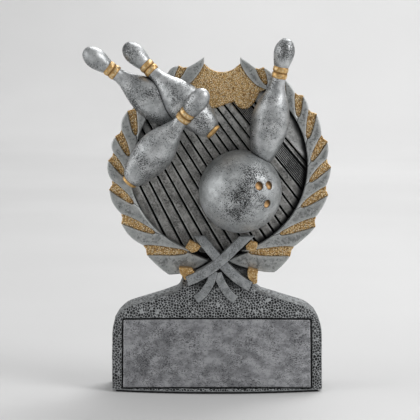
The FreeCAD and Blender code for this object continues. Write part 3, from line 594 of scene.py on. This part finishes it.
def make_base():
    """The base: pits between raised worms of metal in front, furrows on its shoulders."""
    skin = cast("base_block", voxel=0.22, fairing=3)
    low, high = (np.array(corner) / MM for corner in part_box("base_block"))
    above = step_between(*PITS_ABOVE, skin.points[:, 2] - low[2])
    before = step_between(*PITS_BEFORE, high[1] - skin.points[:, 1])
    shown = above * before
    front = skin.facing_front(*FRONT_SPAN) * shown
    shoulder = step_between(*SHOULDER_SPAN, skin.normals[:, 2]) * (1.0 - front)
    pits = pitted(skin, front, shoulder)
    skin.wear(rounds=6, edge=0.16, crease=0.5)
    edges = skin.rub_and_light.copy()
    depth = PIT_DEPTH * pits * (PIT_DEPTHS[0] * shown + PIT_DEPTHS[1] * front)
    skin.push(BASE_LUMPS * shown * waves(skin.points, length=3.0, seed=5) - depth)
    patchy = skin.varied(mean=0.85, swing=0.15, length=5.0, seed=6)
    outwards = np.abs(skin.points[:, 0] - (low[0] + high[0]) / 2)
    for wash in (pits * patchy * (PIT_WASHES[0] * shown + PIT_WASHES[1] * front),
                 NECK_DARKENING * front * step_between(*NECK_SPAN, skin.points[:, 2]),
                 MARGIN_WASH * front * step_between(*MARGIN_SPAN, outwards)):
        skin.wash_and_shade = np.maximum(skin.wash_and_shade, wash)
    skin.stain_and_shade = SIDE_STAIN * shown * (1.0 - front)
    skin.rub_and_light = np.maximum(edges * (1.0 - FRONT_EDGE_LOSS * front),
                          FRONT_RUB * front * (1.0 - pits))
    piece = stand_for(skin, "base_block", PAINTS["pebbled_base"])
    x, _, z = skin.points.T
    low, high = (np.array(corner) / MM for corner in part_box("name_panel"))
    behind_panel = ((x > low[0] + BEHIND_PANEL) & (x < high[0] - BEHIND_PANEL)
                    & (z > low[2] + BEHIND_PANEL) & (z < high[2] - BEHIND_PANEL))
    hidden = (shown < HIDDEN_SHARE) | behind_panel
    thinned(piece, [(SIDE_THINNING, front < SIDE_FRONTNESS), (1.0, hidden)], BASE_TRIANGLES)


# Broad and small unevenness of the panel, and how rubbed its edges are.
PANEL_LUMPS = (0.05, 0.03)
PANEL_RUB = 0.6


def make_panel():
    """The blank name panel: smooth, a little uneven, with softly worn edges."""
    skin = cast("name_panel", voxel=0.34, fairing=2)
    skin.wear(rounds=5, edge=0.14, crease=0.3)
    skin.rub_and_light *= PANEL_RUB
    skin.push(PANEL_LUMPS[0] * waves(skin.points, length=7.0, seed=21)
              + PANEL_LUMPS[1] * waves(skin.points, length=2.5, seed=22))
    skin.stain_and_shade = skin.varied(mean=0.4, swing=0.35, length=12.0, seed=23)
    stand_for(skin, "name_panel", PAINTS["smooth_panel"])


# How far behind the plate's face its black, dark wash and painted shade seen through the grooves,
# ends and is full.
PLATE_BLACK = (1.5, 0.5)


def make_back():
    """The plate behind the wreath, black with dark wash and painted shade where it shows through
    the lane's grooves.
    """
    skin = cast("back_plate", voxel=0.6, fairing=2)
    skin.wear(rounds=4, edge=0.3, crease=0.3)
    low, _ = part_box("back_plate")
    behind_face = skin.points[:, 1] - low.y / MM
    skin.wash_and_shade = np.maximum(skin.wash_and_shade, step_between(*PLATE_BLACK, behind_face))
    skin.lumps(height=0.1, length=6.0, seed=31)
    stand_for(skin, "back_plate", PAINTS["dark_back"])


# ---------------------------------------------------------------- wreath and crest
# Height of a leaf's crown and of the ridge along its edge, and how deep both are set.
LEAF_CROWN = 0.3
LEAF_RIM = 0.06
LEAF_SET = 0.1
# Distance from the edge over which the crown rises; middle and half width of the ridge, and of the
# bright line along the edge.
CROWN_RISE = 1.3
RIM_BAND = (0.5, 0.25)
BRIGHT_BAND = (0.35, 0.2)
# Seeds of the leaves' unevenness, and of their smudges after that.
LEAF_SEEDS = 40
SMUDGE_SEEDS = 60
# The smudges start this far in from the edge, and painted shade makes them stronger by this much on
# the right.
SMUDGE_EDGE = (0.7, 1.8)
RIGHT_PAINTED_SHADE = 0.4
LEFT_TO_RIGHT = (-20.0, 20.0)
# Places along Y where a leaf's front part starts and where it is all front.
LEAF_FRONT = (1.5, -1.5)
# How rubbed a leaf's worn edges and its bright line are.
EDGE_RUB = 0.5
BRIGHT_RUB = 0.4


def make_leaf(node, index):
    """A silver leaf: a little crowned, bright along its edge, smudged along its middle, with
    painted shade on the wreath's right.
    """
    seed = LEAF_SEEDS + index
    skin = cast(node, voxel=0.26, fairing=2)
    away = outline_distance(node, skin)
    front = step_between(*LEAF_FRONT, skin.points[:, 1])
    crown = LEAF_CROWN * (1.0 - np.exp(-away / CROWN_RISE))
    skin.wear(rounds=4, edge=0.2, crease=0.2)
    skin.shift_front(front * (crown + LEAF_RIM * band(away, *RIM_BAND) - LEAF_SET))
    skin.rub_and_light = np.maximum(EDGE_RUB * skin.rub_and_light, BRIGHT_RUB * front * band(away, *BRIGHT_BAND))
    patches = skin.varied(mean=0.45, swing=0.45, length=3.0, seed=seed + SMUDGE_SEEDS)
    # Painted shade: the leaves on the wreath's right get darker smudges.
    patches += RIGHT_PAINTED_SHADE * step_between(*LEFT_TO_RIGHT, skin.points[:, 0])
    skin.stain_and_shade = front * step_between(*SMUDGE_EDGE, away) * patches
    skin.lumps(height=0.06, length=2.5, seed=seed)
    stand_for(skin, node, PAINTS["silver_leaf"])


# By how much, in grain lengths, one grain centre is nearer than the next where the gap between two
# grains starts and where it is at its deepest.
GRAIN_GAP = (0.24, 0.02)
# How far from its centre a grain starts to be rubbed and is fully rubbed.
GRAIN_TOP = (0.5, 0.12)
# How much lower than its centre a grain is in the gap, and one grain length away from the centre.
GAP_DROP = 1.6
GRAIN_SLOPE = 0.6
# The wash in the gaps: how dark, and which share of it is there whichever way the skin faces.
GAP_WASH = 0.8
GAP_WASH_ALL_ROUND = 0.4
# How squarely a face is turned forward, to be pebbled, or back or forward, to be left untucked.
TURNED = (0.3, 0.7)


def pebble(skin, length, height, seed):
    """Packed round grains on whatever faces forward, with the wash in the gaps between them."""
    front = skin.facing_front(*TURNED)
    first, second = grains(skin.points, length, seed)
    gap = step_between(*GRAIN_GAP, second - first)
    skin.push(front * height * (1.0 - GAP_DROP * gap - GRAIN_SLOPE * first))
    share = GAP_WASH_ALL_ROUND + (1.0 - GAP_WASH_ALL_ROUND) * front
    skin.wash_and_shade = np.maximum(skin.wash_and_shade, GAP_WASH * gap * share)
    skin.rub_and_light = np.maximum(skin.rub_and_light, front * step_between(*GRAIN_TOP, first))


# How far the gold runs in under the silver beside it.
GOLD_TUCK = 0.25
GOLD_SEEDS = {"gold_inlays_left": 70, "gold_inlays_right": 80, "crest_field": 90}


def make_gold_field(node, seed):
    """Pebbled gold, sunk between silver."""
    skin = cast(node, voxel=0.18, fairing=1)
    skin.wear(rounds=5, edge=0.3, crease=0.12)
    sideways = 1.0 - step_between(*TURNED, np.abs(skin.normals[:, 1]))
    skin.push(GOLD_TUCK * sideways)
    pebble(skin, length=0.7, height=0.2, seed=seed)
    stand_for(skin, node, PAINTS["gold_pebbled"])


def make_wreath():
    """Leaves, inlays and crest."""
    leaves = sorted(n for n in NODES if n.startswith(("leaf_", "crest_leaf_")))
    for index, node in enumerate(leaves):
        make_leaf(node, index)
    for node, seed in GOLD_SEEDS.items():
        make_gold_field(node, seed)


# ---------------------------------------------------------------- lane
# The lane's lines fan out: each is placed by where it crosses LANE_LEVEL, and leans by
# LANE_LEAN plus LANE_FANNING for each mm from the first groove.
LANE_LEVEL = 97.95
LANE_LEAN = -0.494
LANE_FANNING = -0.0045
FIRST_GROOVE = -38.0
BOARD_PITCH = 4.92
GROOVE_WIDTH = 0.95
LANE_BOARDS = 15
GUTTER_START = 31.5
GUTTER_PITCH = 0.98
GUTTER_RIB_SHARE = 0.6
GUTTER_RIBS = 8
STRIP_SPAN = (40.4, 42.2)
BANK_SPAN = (43.3, 57.6)
# Length of a strip's faces, the fewest along it, and the length of the shortest strip that is made.
LANE_STEP = 0.45
FEWEST_STEPS = 3
SHORTEST_STRIP = 1.0
# Corners of the strips closer than this are one corner.
SAME_CORNER = 1e-5
# The opening of the wreath, which the lane fills.
WREATH_X = 0.5
WREATH_Z = 100.5
OPENING = 40.25
# How far the painted shadow reaches in from the wreath, on its left and on its right; where, across
# the lane, its reach grows from one to the other; and how uneven that reach is.
RIM_SHADOW_REACH = (2.2, 3.8)
RIM_SIDES = (-15.0, 20.0)
RIM_UNEVEN = 0.9
# How much further it reaches at the upper left, where the wreath does too: the most, the angle in
# degrees above the left, and the half width of the stretch.
INSET_SHADOW = 4.5
INSET_BAND = (24.0, 15.0)
# How dark the painted shadow is on the left, and over which share of its reach it is all there.
RIM_LEFT_SHADOW = 0.55
RIM_FULL = 0.25
# The top of the lane is painted brighter, as painted light, from one height to another.
LIT_TOP = (104.0, 128.0)
TOP_PAINTED_LIGHT = 0.6
# Up to this height above the back plate the dark wash and painted shade between the strips are all
# there.
WASH_AND_SHADE_FLOOR = 0.3
# Broad and small unevenness of the strips.
LANE_LUMPS = (0.07, 0.05)

# Cross-sections: share of the way across, and height above the back plate.
BOARD_SECTION = [(0.0, 0.0), (0.0, 1.2), (0.015, 2.0), (0.05, 2.45), (0.10, 2.62), (0.16, 2.60),
                 (0.24, 2.44), (0.36, 2.40), (0.5, 2.42), (0.64, 2.42), (0.78, 2.40), (0.88, 2.36),
                 (0.94, 2.25), (0.985, 1.9), (1.0, 1.2), (1.0, 0.0)]
RIB_SECTION = [(0.0, 0.0), (0.0, 0.6), (0.15, 1.0), (0.35, 1.2), (0.5, 1.25), (0.65, 1.2),
               (0.85, 1.0), (1.0, 0.6), (1.0, 0.0)]
STRIP_SECTION = [(0.0, 0.0), (0.0, 1.4), (0.06, 2.2), (0.2, 2.55), (0.4, 2.5), (0.6, 2.3),
                 (0.8, 2.1), (0.94, 1.9), (1.0, 1.4), (1.0, 0.0)]
BANK_SECTION = [(0.0, 0.0), (0.0, 1.0), (0.02, 1.6), (0.06, 1.95), (0.13, 2.1), (0.22, 2.15),
                (0.33, 2.1), (0.44, 2.0), (0.57, 1.85), (0.7, 1.7), (0.85, 1.5), (1.0, 1.3),
                (1.0, 0.0)]


def opening_span(across):
    """Lowest and highest point, inside the wreath's opening, of the lane's line at across."""
    lean = LANE_LEAN + LANE_FANNING * (across - FIRST_GROOVE)
    offset = across - lean * LANE_LEVEL - WREATH_X
    square = 1.0 + lean * lean
    half = lean * offset - WREATH_Z
    rest = offset * offset + WREATH_Z ** 2 - OPENING ** 2
    reach = math.sqrt(max(half * half - square * rest, 0.0))
    return [(-half + sign * reach) / square for sign in (-1, 1)]


def lane_x(across, height):
    """Where the lane's line at across is, at a height."""
    return across + (LANE_LEAN + LANE_FANNING * (across - FIRST_GROOVE)) * (height - LANE_LEVEL)


def add_strip(build, start, end, section, back):
    """One strip of the lane, between two of its lines, closed all round."""
    lines = [start + (end - start) * share for share, _ in section]
    spans = [opening_span(across) for across in lines]
    longest = max(high - low for low, high in spans)
    if longest < SHORTEST_STRIP:
        return
    count = max(FEWEST_STEPS, int(longest / LANE_STEP))
    rows = []
    for step in range(count + 1):
        row = []
        for across, (low, high), (_, rise) in zip(lines, spans, section):
            height = low + (high - low) * step / count
            row.append(build.verts.new((lane_x(across, height), back - rise, height)))
        rows.append(row)
    for below, above in zip(rows, rows[1:]):
        for k in range(len(section)):
            after = (k + 1) % len(section)
            build.faces.new((below[k], below[after], above[after], above[k]))
    build.faces.new(rows[0][::-1])
    build.faces.new(rows[-1])


def lane_skin(node, strips, section):
    """All the strips of one lane node as a skin."""
    _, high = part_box(node)
    build = bmesh.new()
    for start, end in strips:
        add_strip(build, start, end, section, high.y / MM)
    bmesh.ops.remove_doubles(build, verts=build.verts, dist=SAME_CORNER)
    bmesh.ops.recalc_face_normals(build, faces=build.faces)
    bmesh.ops.scale(build, vec=(MM, MM, MM), verts=build.verts)
    mesh = bpy.data.meshes.new(node + "_cast")
    build.to_mesh(mesh)
    build.free()
    return Skin(new_piece(node + "_cast", mesh))


def board_spans():
    """The level span of each lane board between its two grooves."""
    gap = GROOVE_WIDTH / 2
    starts = [FIRST_GROOVE + BOARD_PITCH * (index - 1) for index in range(LANE_BOARDS)]
    return [(start + gap, start + BOARD_PITCH - gap) for start in starts]


def shaded_rim(points):
    """Painted shadow along the wreath's inner edge: wide on the right, thin and broken on the left.
    """
    across = points[:, 0] - WREATH_X
    away = OPENING - np.hypot(across, points[:, 2] - WREATH_Z)
    right = step_between(*RIM_SIDES, across)
    reach = RIM_SHADOW_REACH[0] + (RIM_SHADOW_REACH[1] - RIM_SHADOW_REACH[0]) * right
    reach += RIM_UNEVEN * waves(points, length=1.6, seed=98)
    angle = np.degrees(np.arctan2(points[:, 2] - WREATH_Z, -across))
    reach += INSET_SHADOW * band(angle, *INSET_BAND)
    dark = RIM_LEFT_SHADOW + (1.0 - RIM_LEFT_SHADOW) * right
    return dark * step_between(reach, RIM_FULL * reach, away)


def lane_plans():
    """For each lane node its strips, their section, and how high up from the plate the wash and
    painted shade reach.
    """
    ribs = [GUTTER_START + GUTTER_PITCH * index for index in range(GUTTER_RIBS)]
    rib_spans = [(start, start + GUTTER_RIB_SHARE * GUTTER_PITCH) for start in ribs]
    return {
        "lane_boards": (board_spans(), BOARD_SECTION, 1.7),
        "gutter_ribs": (rib_spans, RIB_SECTION, 0.6),
        "lane_edge_strip": ([STRIP_SPAN], STRIP_SECTION, 1.4),
        "gutter_bank": ([BANK_SPAN], BANK_SECTION, 0.9),
    }


def make_lane():
    """Boards, ribbed gutter, edge strip and bank."""
    for index, (node, (strips, section, wash_and_shade_top)) in enumerate(lane_plans().items()):
        skin = lane_skin(node, strips, section)
        rise = skin.points[:, 1].max() - skin.points[:, 1]
        # Dark wash and painted shade low between the strips, and the painted shadow along the
        # wreath.
        skin.wash_and_shade = np.maximum(step_between(wash_and_shade_top, WASH_AND_SHADE_FLOOR, rise),
                                 shaded_rim(skin.points))
        skin.stain_and_shade = skin.varied(mean=0.5, swing=0.5, length=4.0, seed=85 + index)
        skin.wear(rounds=3, edge=0.10, crease=0.2)
        # Painted light on the top of the lane.
        skin.rub_and_light = np.maximum(skin.rub_and_light, TOP_PAINTED_LIGHT * step_between(*LIT_TOP, skin.points[:, 2]))
        uneven = LANE_LUMPS[0] * waves(skin.points, length=2.2, seed=90 + index)
        uneven += LANE_LUMPS[1] * waves(skin.points, length=0.9, seed=95 + index)
        skin.shift_front(skin.facing_front() * uneven)
        paint = "lane_silver" if node.startswith("lane_") else "gutter_silver"
        stand_for(skin, node, PAINTS[paint])


# ---------------------------------------------------------------- ribbon, ball and pins
# How rubbed the ribbon's edges are, and how dark the wash between the grains of its folds.
RIBBON_RUB = 0.6
FOLD_WASH = 0.6


def make_ribbon():
    """Bands and tails in matt silver, folds in pebbled gold."""
    for index, node in enumerate(sorted(n for n in NODES if n.startswith("ribbon_"))):
        skin = cast(node, voxel=0.2, fairing=2)
        skin.wear(rounds=5, edge=0.12, crease=0.12)
        skin.rub_and_light *= RIBBON_RUB
        skin.stain_and_shade = skin.varied(mean=0.4, swing=0.4, length=2.5, seed=100 + index)
        if SLOT_OF[node] == "ribbon_silver":
            skin.lumps(height=0.08, length=2.5, seed=110 + index)
        else:
            skin.lumps(height=0.12, length=1.5, seed=110 + index)
            pebble(skin, length=0.75, height=0.1, seed=120 + index)
            skin.wash_and_shade *= FOLD_WASH
        stand_for(skin, node, PAINTS[SLOT_OF[node]])


# Darker, more speckled patches of the ball: a direction from its centre, and how widely each
# spreads.
BALL_PATCHES = [((0.10, -0.95, -0.02), 0.50), ((0.42, -0.85, -0.22), 0.30),
                ((-0.1, -0.9, -0.35), 0.3), ((0.22, -0.82, 0.38), 0.30),
                ((0.5, -0.68, 0.42), 0.25)]
# How dark the middle of a patch is.
PATCH_DARKNESS = 0.9


def make_ball():
    """The ball, with the slight unevenness of a casting."""
    skin = cast("ball", voxel=0.3, fairing=4)
    skin.wear(rounds=5, edge=0.5, crease=0.2)
    low, high = (np.array(corner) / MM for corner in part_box("ball"))
    radius = (high[0] - low[0]) / 2
    centre = np.array([(low[0] + high[0]) / 2, low[1] + radius, (low[2] + high[2]) / 2])
    out = (skin.points - centre) / radius
    for spot, spread in BALL_PATCHES:
        gap = np.linalg.norm(out - np.array(spot), axis=1)
        skin.stain_and_shade = np.maximum(skin.stain_and_shade, band(gap, 0.0, spread))
    skin.stain_and_shade = PATCH_DARKNESS * skin.stain_and_shade + skin.varied(mean=0.0, swing=0.25, length=3.0, seed=129)
    skin.stain_and_shade = np.clip(skin.stain_and_shade, 0.0, 1.0)
    skin.lumps(height=0.07, length=5.0, seed=130)
    skin.lumps(height=0.025, length=0.9, seed=131)
    stand_for(skin, "ball", PAINTS["ball_silver"])


# Shares of a liner's radius: where the dark of its rim starts and is full, and where the painted
# light of its middle does.
LINER_RIM = (0.82, 1.0)
LINER_MIDDLE = (0.8, 0.5)
# How far towards the upper right its painted shade starts and is full, and to the lower left its
# painted light.
LINER_SHADE = (0.1, 0.9)
LINER_LIGHT = (0.0, -0.7)
# How steeply both run, as Z against X, how dark the painted shade is, and how bright the painted
# light.
SHADE_SLOPE = 0.8
PAINTED_SHADE_DARKNESS = 0.8
PAINTED_LIGHT_SHARE = 0.6


def make_liners():
    """The gold recess of each finger hole.

    Its rim is dark, its upper right has painted shade and its lower left painted light.
    """
    for node in ("finger_liner_left", "finger_liner_right", "thumb_liner"):
        skin = cast(node, voxel=0.12, fairing=1)
        offset, _, out, _ = skin.about_short_axis()
        share = out / out.max()
        # Painted shade towards the upper right and painted light towards the lower left.
        shaded = (offset[:, 0] + SHADE_SLOPE * offset[:, 2]) / out.max()
        skin.wash_and_shade = np.maximum(step_between(*LINER_RIM, share),
                                 PAINTED_SHADE_DARKNESS * step_between(*LINER_SHADE, shaded))
        lit = step_between(*LINER_LIGHT, shaded) * step_between(*LINER_MIDDLE, share)
        skin.rub_and_light = PAINTED_LIGHT_SHARE * lit
        stand_for(skin, node, PAINTS["finger_gold"])


# A neck band's two rounds: their height, how deep they are set, how full they are, unevenness.
ROUND_HEIGHT = 0.14
ROUND_SET = 0.1
ROUND_FULLNESS = 0.7
ROUND_LUMPS = 0.05
# Where, as shares of half the band's width, the wash between the rounds and beside them lies.
WASH_BETWEEN = (0.2, 0.05)
WASH_BESIDE = (0.85, 0.97)
BAND_WASH = 0.7
# How high up a round, and at which level of noise, its rubbed patches start and are full.
ROUND_TOP = (0.7, 1.0)
WORN_PATCH = (-0.4, 0.5)
ROUND_RUB = 0.7


def ring_band(skin):
    """Shapes a neck band into two rounded rings with the wash between and beside them."""
    _, along, _, _ = skin.about_short_axis()
    along = along / np.abs(along).max()
    arch = np.abs(np.sin(math.pi * along)) ** ROUND_FULLNESS
    uneven = ROUND_LUMPS * waves(skin.points, length=0.6, seed=9)
    skin.push(ROUND_HEIGHT * arch - ROUND_SET + uneven)
    between = step_between(*WASH_BETWEEN, np.abs(along))
    beside = step_between(*WASH_BESIDE, np.abs(along))
    skin.wash_and_shade = BAND_WASH * np.maximum(between, beside)
    worn = step_between(*WORN_PATCH, waves(skin.points, length=0.8, seed=10))
    skin.rub_and_light = ROUND_RUB * step_between(*ROUND_TOP, arch) * worn
    skin.stain_and_shade = skin.varied(mean=0.3, swing=0.4, length=1.2, seed=11)


# A base ring's dish: how squarely its face is turned along the pin, the shares of the ring's radius
# between which its edge falls, its depth, and how dark the wash in it is.
DISH_TURNED = (0.3, 0.8)
DISH_EDGE = (0.75, 0.6)
DISH_DEPTH = 0.5
DISH_WASH = 0.8


def dished_ring(skin):
    """Sinks the middle of a base ring's disc, and leaves the wash in it."""
    _, _, out, axis = skin.about_short_axis()
    flat = step_between(*DISH_TURNED, np.abs(skin.normals @ axis))
    inside = step_between(*DISH_EDGE, out / out.max()) * flat
    skin.push(-DISH_DEPTH * inside)
    skin.wash_and_shade = np.maximum(skin.wash_and_shade, DISH_WASH * inside)


# Painted shade: how much less stained and shaded a pin is where it faces right, and how much more
# where it faces left, than where it faces forward.
PIN_SIDE_PAINTED_SHADE = 0.3


def make_pins():
    """Four pins, with gold rings round their necks and under two of them."""
    for index, node in enumerate(sorted(n for n in NODES if n.startswith("pin_"))):
        if node.endswith("_body"):
            skin = cast(node, voxel=0.28, fairing=4)
            skin.wear(rounds=5, edge=0.5, crease=0.15)
            patches = skin.varied(mean=0.35, swing=0.7, length=6.0, seed=140 + index)
            # Random stains, with painted shade on the side that faces left.
            skin.stain_and_shade = np.clip(patches - PIN_SIDE_PAINTED_SHADE * skin.normals[:, 0], 0.0, 1.0)
            skin.lumps(height=0.08, length=4.0, seed=150 + index)
            skin.lumps(height=0.03, length=1.0, seed=170 + index)
        else:
            skin = cast(node, voxel=0.12, fairing=1)
            if node.endswith("_neck_band"):
                ring_band(skin)
            else:
                dished_ring(skin)
            skin.lumps(height=0.05, length=0.9, seed=150 + index)
        stand_for(skin, node, PAINTS[SLOT_OF[node]])


# ---------------------------------------------------------------- studio
# The camera's distance from its target, the angle above level at which it stands, and the target.
VIEW_DISTANCE = 900.0
VIEW_RISE = math.radians(6.0)
VIEW_TARGET = (-3.1, -5.0, 80.6)
# Width of the camera's sensor, the focal length in such widths, and how far it sees in metres.
SENSOR = 36.0
LENS_IN_FRAMES = 4.8154
CAMERA_REACH = 20.0


def make_camera():
    """A long lens, straight on and a little above."""
    lens = bpy.data.cameras.new("camera")
    lens.sensor_width = SENSOR
    lens.lens = SENSOR * LENS_IN_FRAMES
    lens.clip_end = CAMERA_REACH
    camera = bpy.data.objects.new("camera", lens)
    bpy.context.scene.collection.objects.link(camera)
    away = (0.0, -math.cos(VIEW_RISE) * VIEW_DISTANCE, math.sin(VIEW_RISE) * VIEW_DISTANCE)
    camera.location = [(at + out) * MM for at, out in zip(VIEW_TARGET, away)]
    camera.rotation_euler = (math.pi / 2 - VIEW_RISE, 0.0, 0.0)
    bpy.context.scene.camera = camera


# The studio floor in metres: half its width, its near and far ends, the radius of the bend that
# takes it up into a wall, and the wall's top. Then the bend's corners, and the first one's angle.
FLOOR_HALF_WIDTH = 4.0
FLOOR_NEAR = -3.0
FLOOR_FAR = 1.4
FLOOR_BEND = 0.8
WALL_TOP = 4.0
BEND_STEPS = 14
BEND_START = 0.1
# Its greys around, behind and far behind the trophy, on the left and on the right, and where along
# Y and X one passes into the next. The left ones, and the middle ones, are darker as painted shade.
FLOOR_GREYS = ((194, 188, 199), (213, 200, 210))
MIDDLE_SPAN = (0.0, 0.9)
FAR_SPAN = (0.9, 1.9)
SIDE_SPAN = (-0.3, 0.2)
# Faint, wide, paler clouds on it: their size, the noise in which they show, and their strength.
CLOUD_LENGTH = 400.0
CLOUD_SPAN = (0.3, 0.7)
CLOUD_SHARE = 0.1
# Brightness of the room around it.
ROOM_STRENGTH = 0.38


def floor_paint():
    """Pale matt paper, with painted shade in the middle distance and on the left."""
    paint = Paint("studio_floor_paint")
    spot = paint.node("SeparateXYZ", {})
    paint.link(paint.node("TexCoord", {}).outputs["Object"], spot.inputs[0])
    # Painted shade in the middle distance.
    middle = paint.ramp(spot.outputs["Y"], *MIDDLE_SPAN)
    far = paint.ramp(spot.outputs["Y"], *FAR_SPAN)
    sides = []
    for greys in FLOOR_GREYS:
        near_tone, middle_tone, far_tone = (tone(grey, grey, grey) for grey in greys)
        sides.append(paint.mix(far, paint.mix(middle, near_tone, middle_tone), far_tone))
    # Painted shade on the left.
    colour = paint.mix(paint.ramp(spot.outputs["X"], *SIDE_SPAN), *sides)
    clouds = paint.ramp(paint.noise(CLOUD_LENGTH), *CLOUD_SPAN, end=CLOUD_SHARE)
    colour = paint.mix(clouds, colour, tone(255, 255, 255))
    paint.link(colour, paint.shader.inputs["Base Color"])
    paint.shader.inputs["Roughness"].default_value = 0.9
    return paint.material


def make_floor():
    """A pale sweep: a floor that curves up into a wall far behind."""
    profile = [(FLOOR_NEAR, 0.0), (FLOOR_FAR, 0.0)]
    profile += [(FLOOR_FAR + FLOOR_BEND * math.sin(a), FLOOR_BEND - FLOOR_BEND * math.cos(a))
                for a in np.linspace(BEND_START, math.pi / 2, BEND_STEPS)]
    profile.append((FLOOR_FAR + FLOOR_BEND, WALL_TOP))
    build = bmesh.new()
    rows = [[build.verts.new((x, y, z)) for x in (-FLOOR_HALF_WIDTH, FLOOR_HALF_WIDTH)]
            for y, z in profile]
    for below, above in zip(rows, rows[1:]):
        build.faces.new((below[0], below[1], above[1], above[0]))
    mesh = bpy.data.meshes.new("studio_floor")
    build.to_mesh(mesh)
    build.free()
    floor = new_piece("studio_floor", mesh)
    mesh.materials.append(floor_paint())


def add_lamp(name, spot, size, power, aim=(0.0, 0.0, 0.08)):
    """A soft square lamp at a spot in metres, aimed at the trophy or at another spot."""
    lamp = bpy.data.lights.new(name, "AREA")
    lamp.size = size
    lamp.energy = power
    holder = bpy.data.objects.new(name, lamp)
    bpy.context.scene.collection.objects.link(holder)
    holder.location = spot
    towards = np.array(aim) - np.array(spot)
    flat = math.hypot(towards[0], towards[1])
    holder.rotation_euler = (math.pi / 2 + math.atan2(towards[2], flat), 0.0,
                             math.atan2(-towards[0], towards[1]))


def make_light():
    """A soft key from the right, a broad fill from the left, one above, one behind, a dim room."""
    add_lamp("key", (2.7, -1.2, 2.0), size=1.6, power=51.0)
    add_lamp("fill", (-3.1, -0.5, 0.9), size=3.0, power=47.0)
    add_lamp("top", (0.6, 1.9, 2.8), size=2.5, power=32.0, aim=(0.0, 0.8, 0.0))
    add_lamp("back", (0.5, 1.2, 1.6), size=0.9, power=16.0)
    world = bpy.data.worlds.new("dim_room")
    bpy.context.scene.world = world
    world.use_nodes = True
    background = world.node_tree.nodes["Background"]
    background.inputs["Color"].default_value = (1.0, 1.0, 1.0, 1.0)
    background.inputs["Strength"].default_value = ROOM_STRENGTH
    bpy.context.scene.view_settings.view_transform = "Standard"


make_camera()
make_felt()
make_base()
make_panel()
make_back()
make_wreath()
make_lane()
make_ribbon()
make_ball()
make_liners()
make_pins()
make_floor()
make_light()
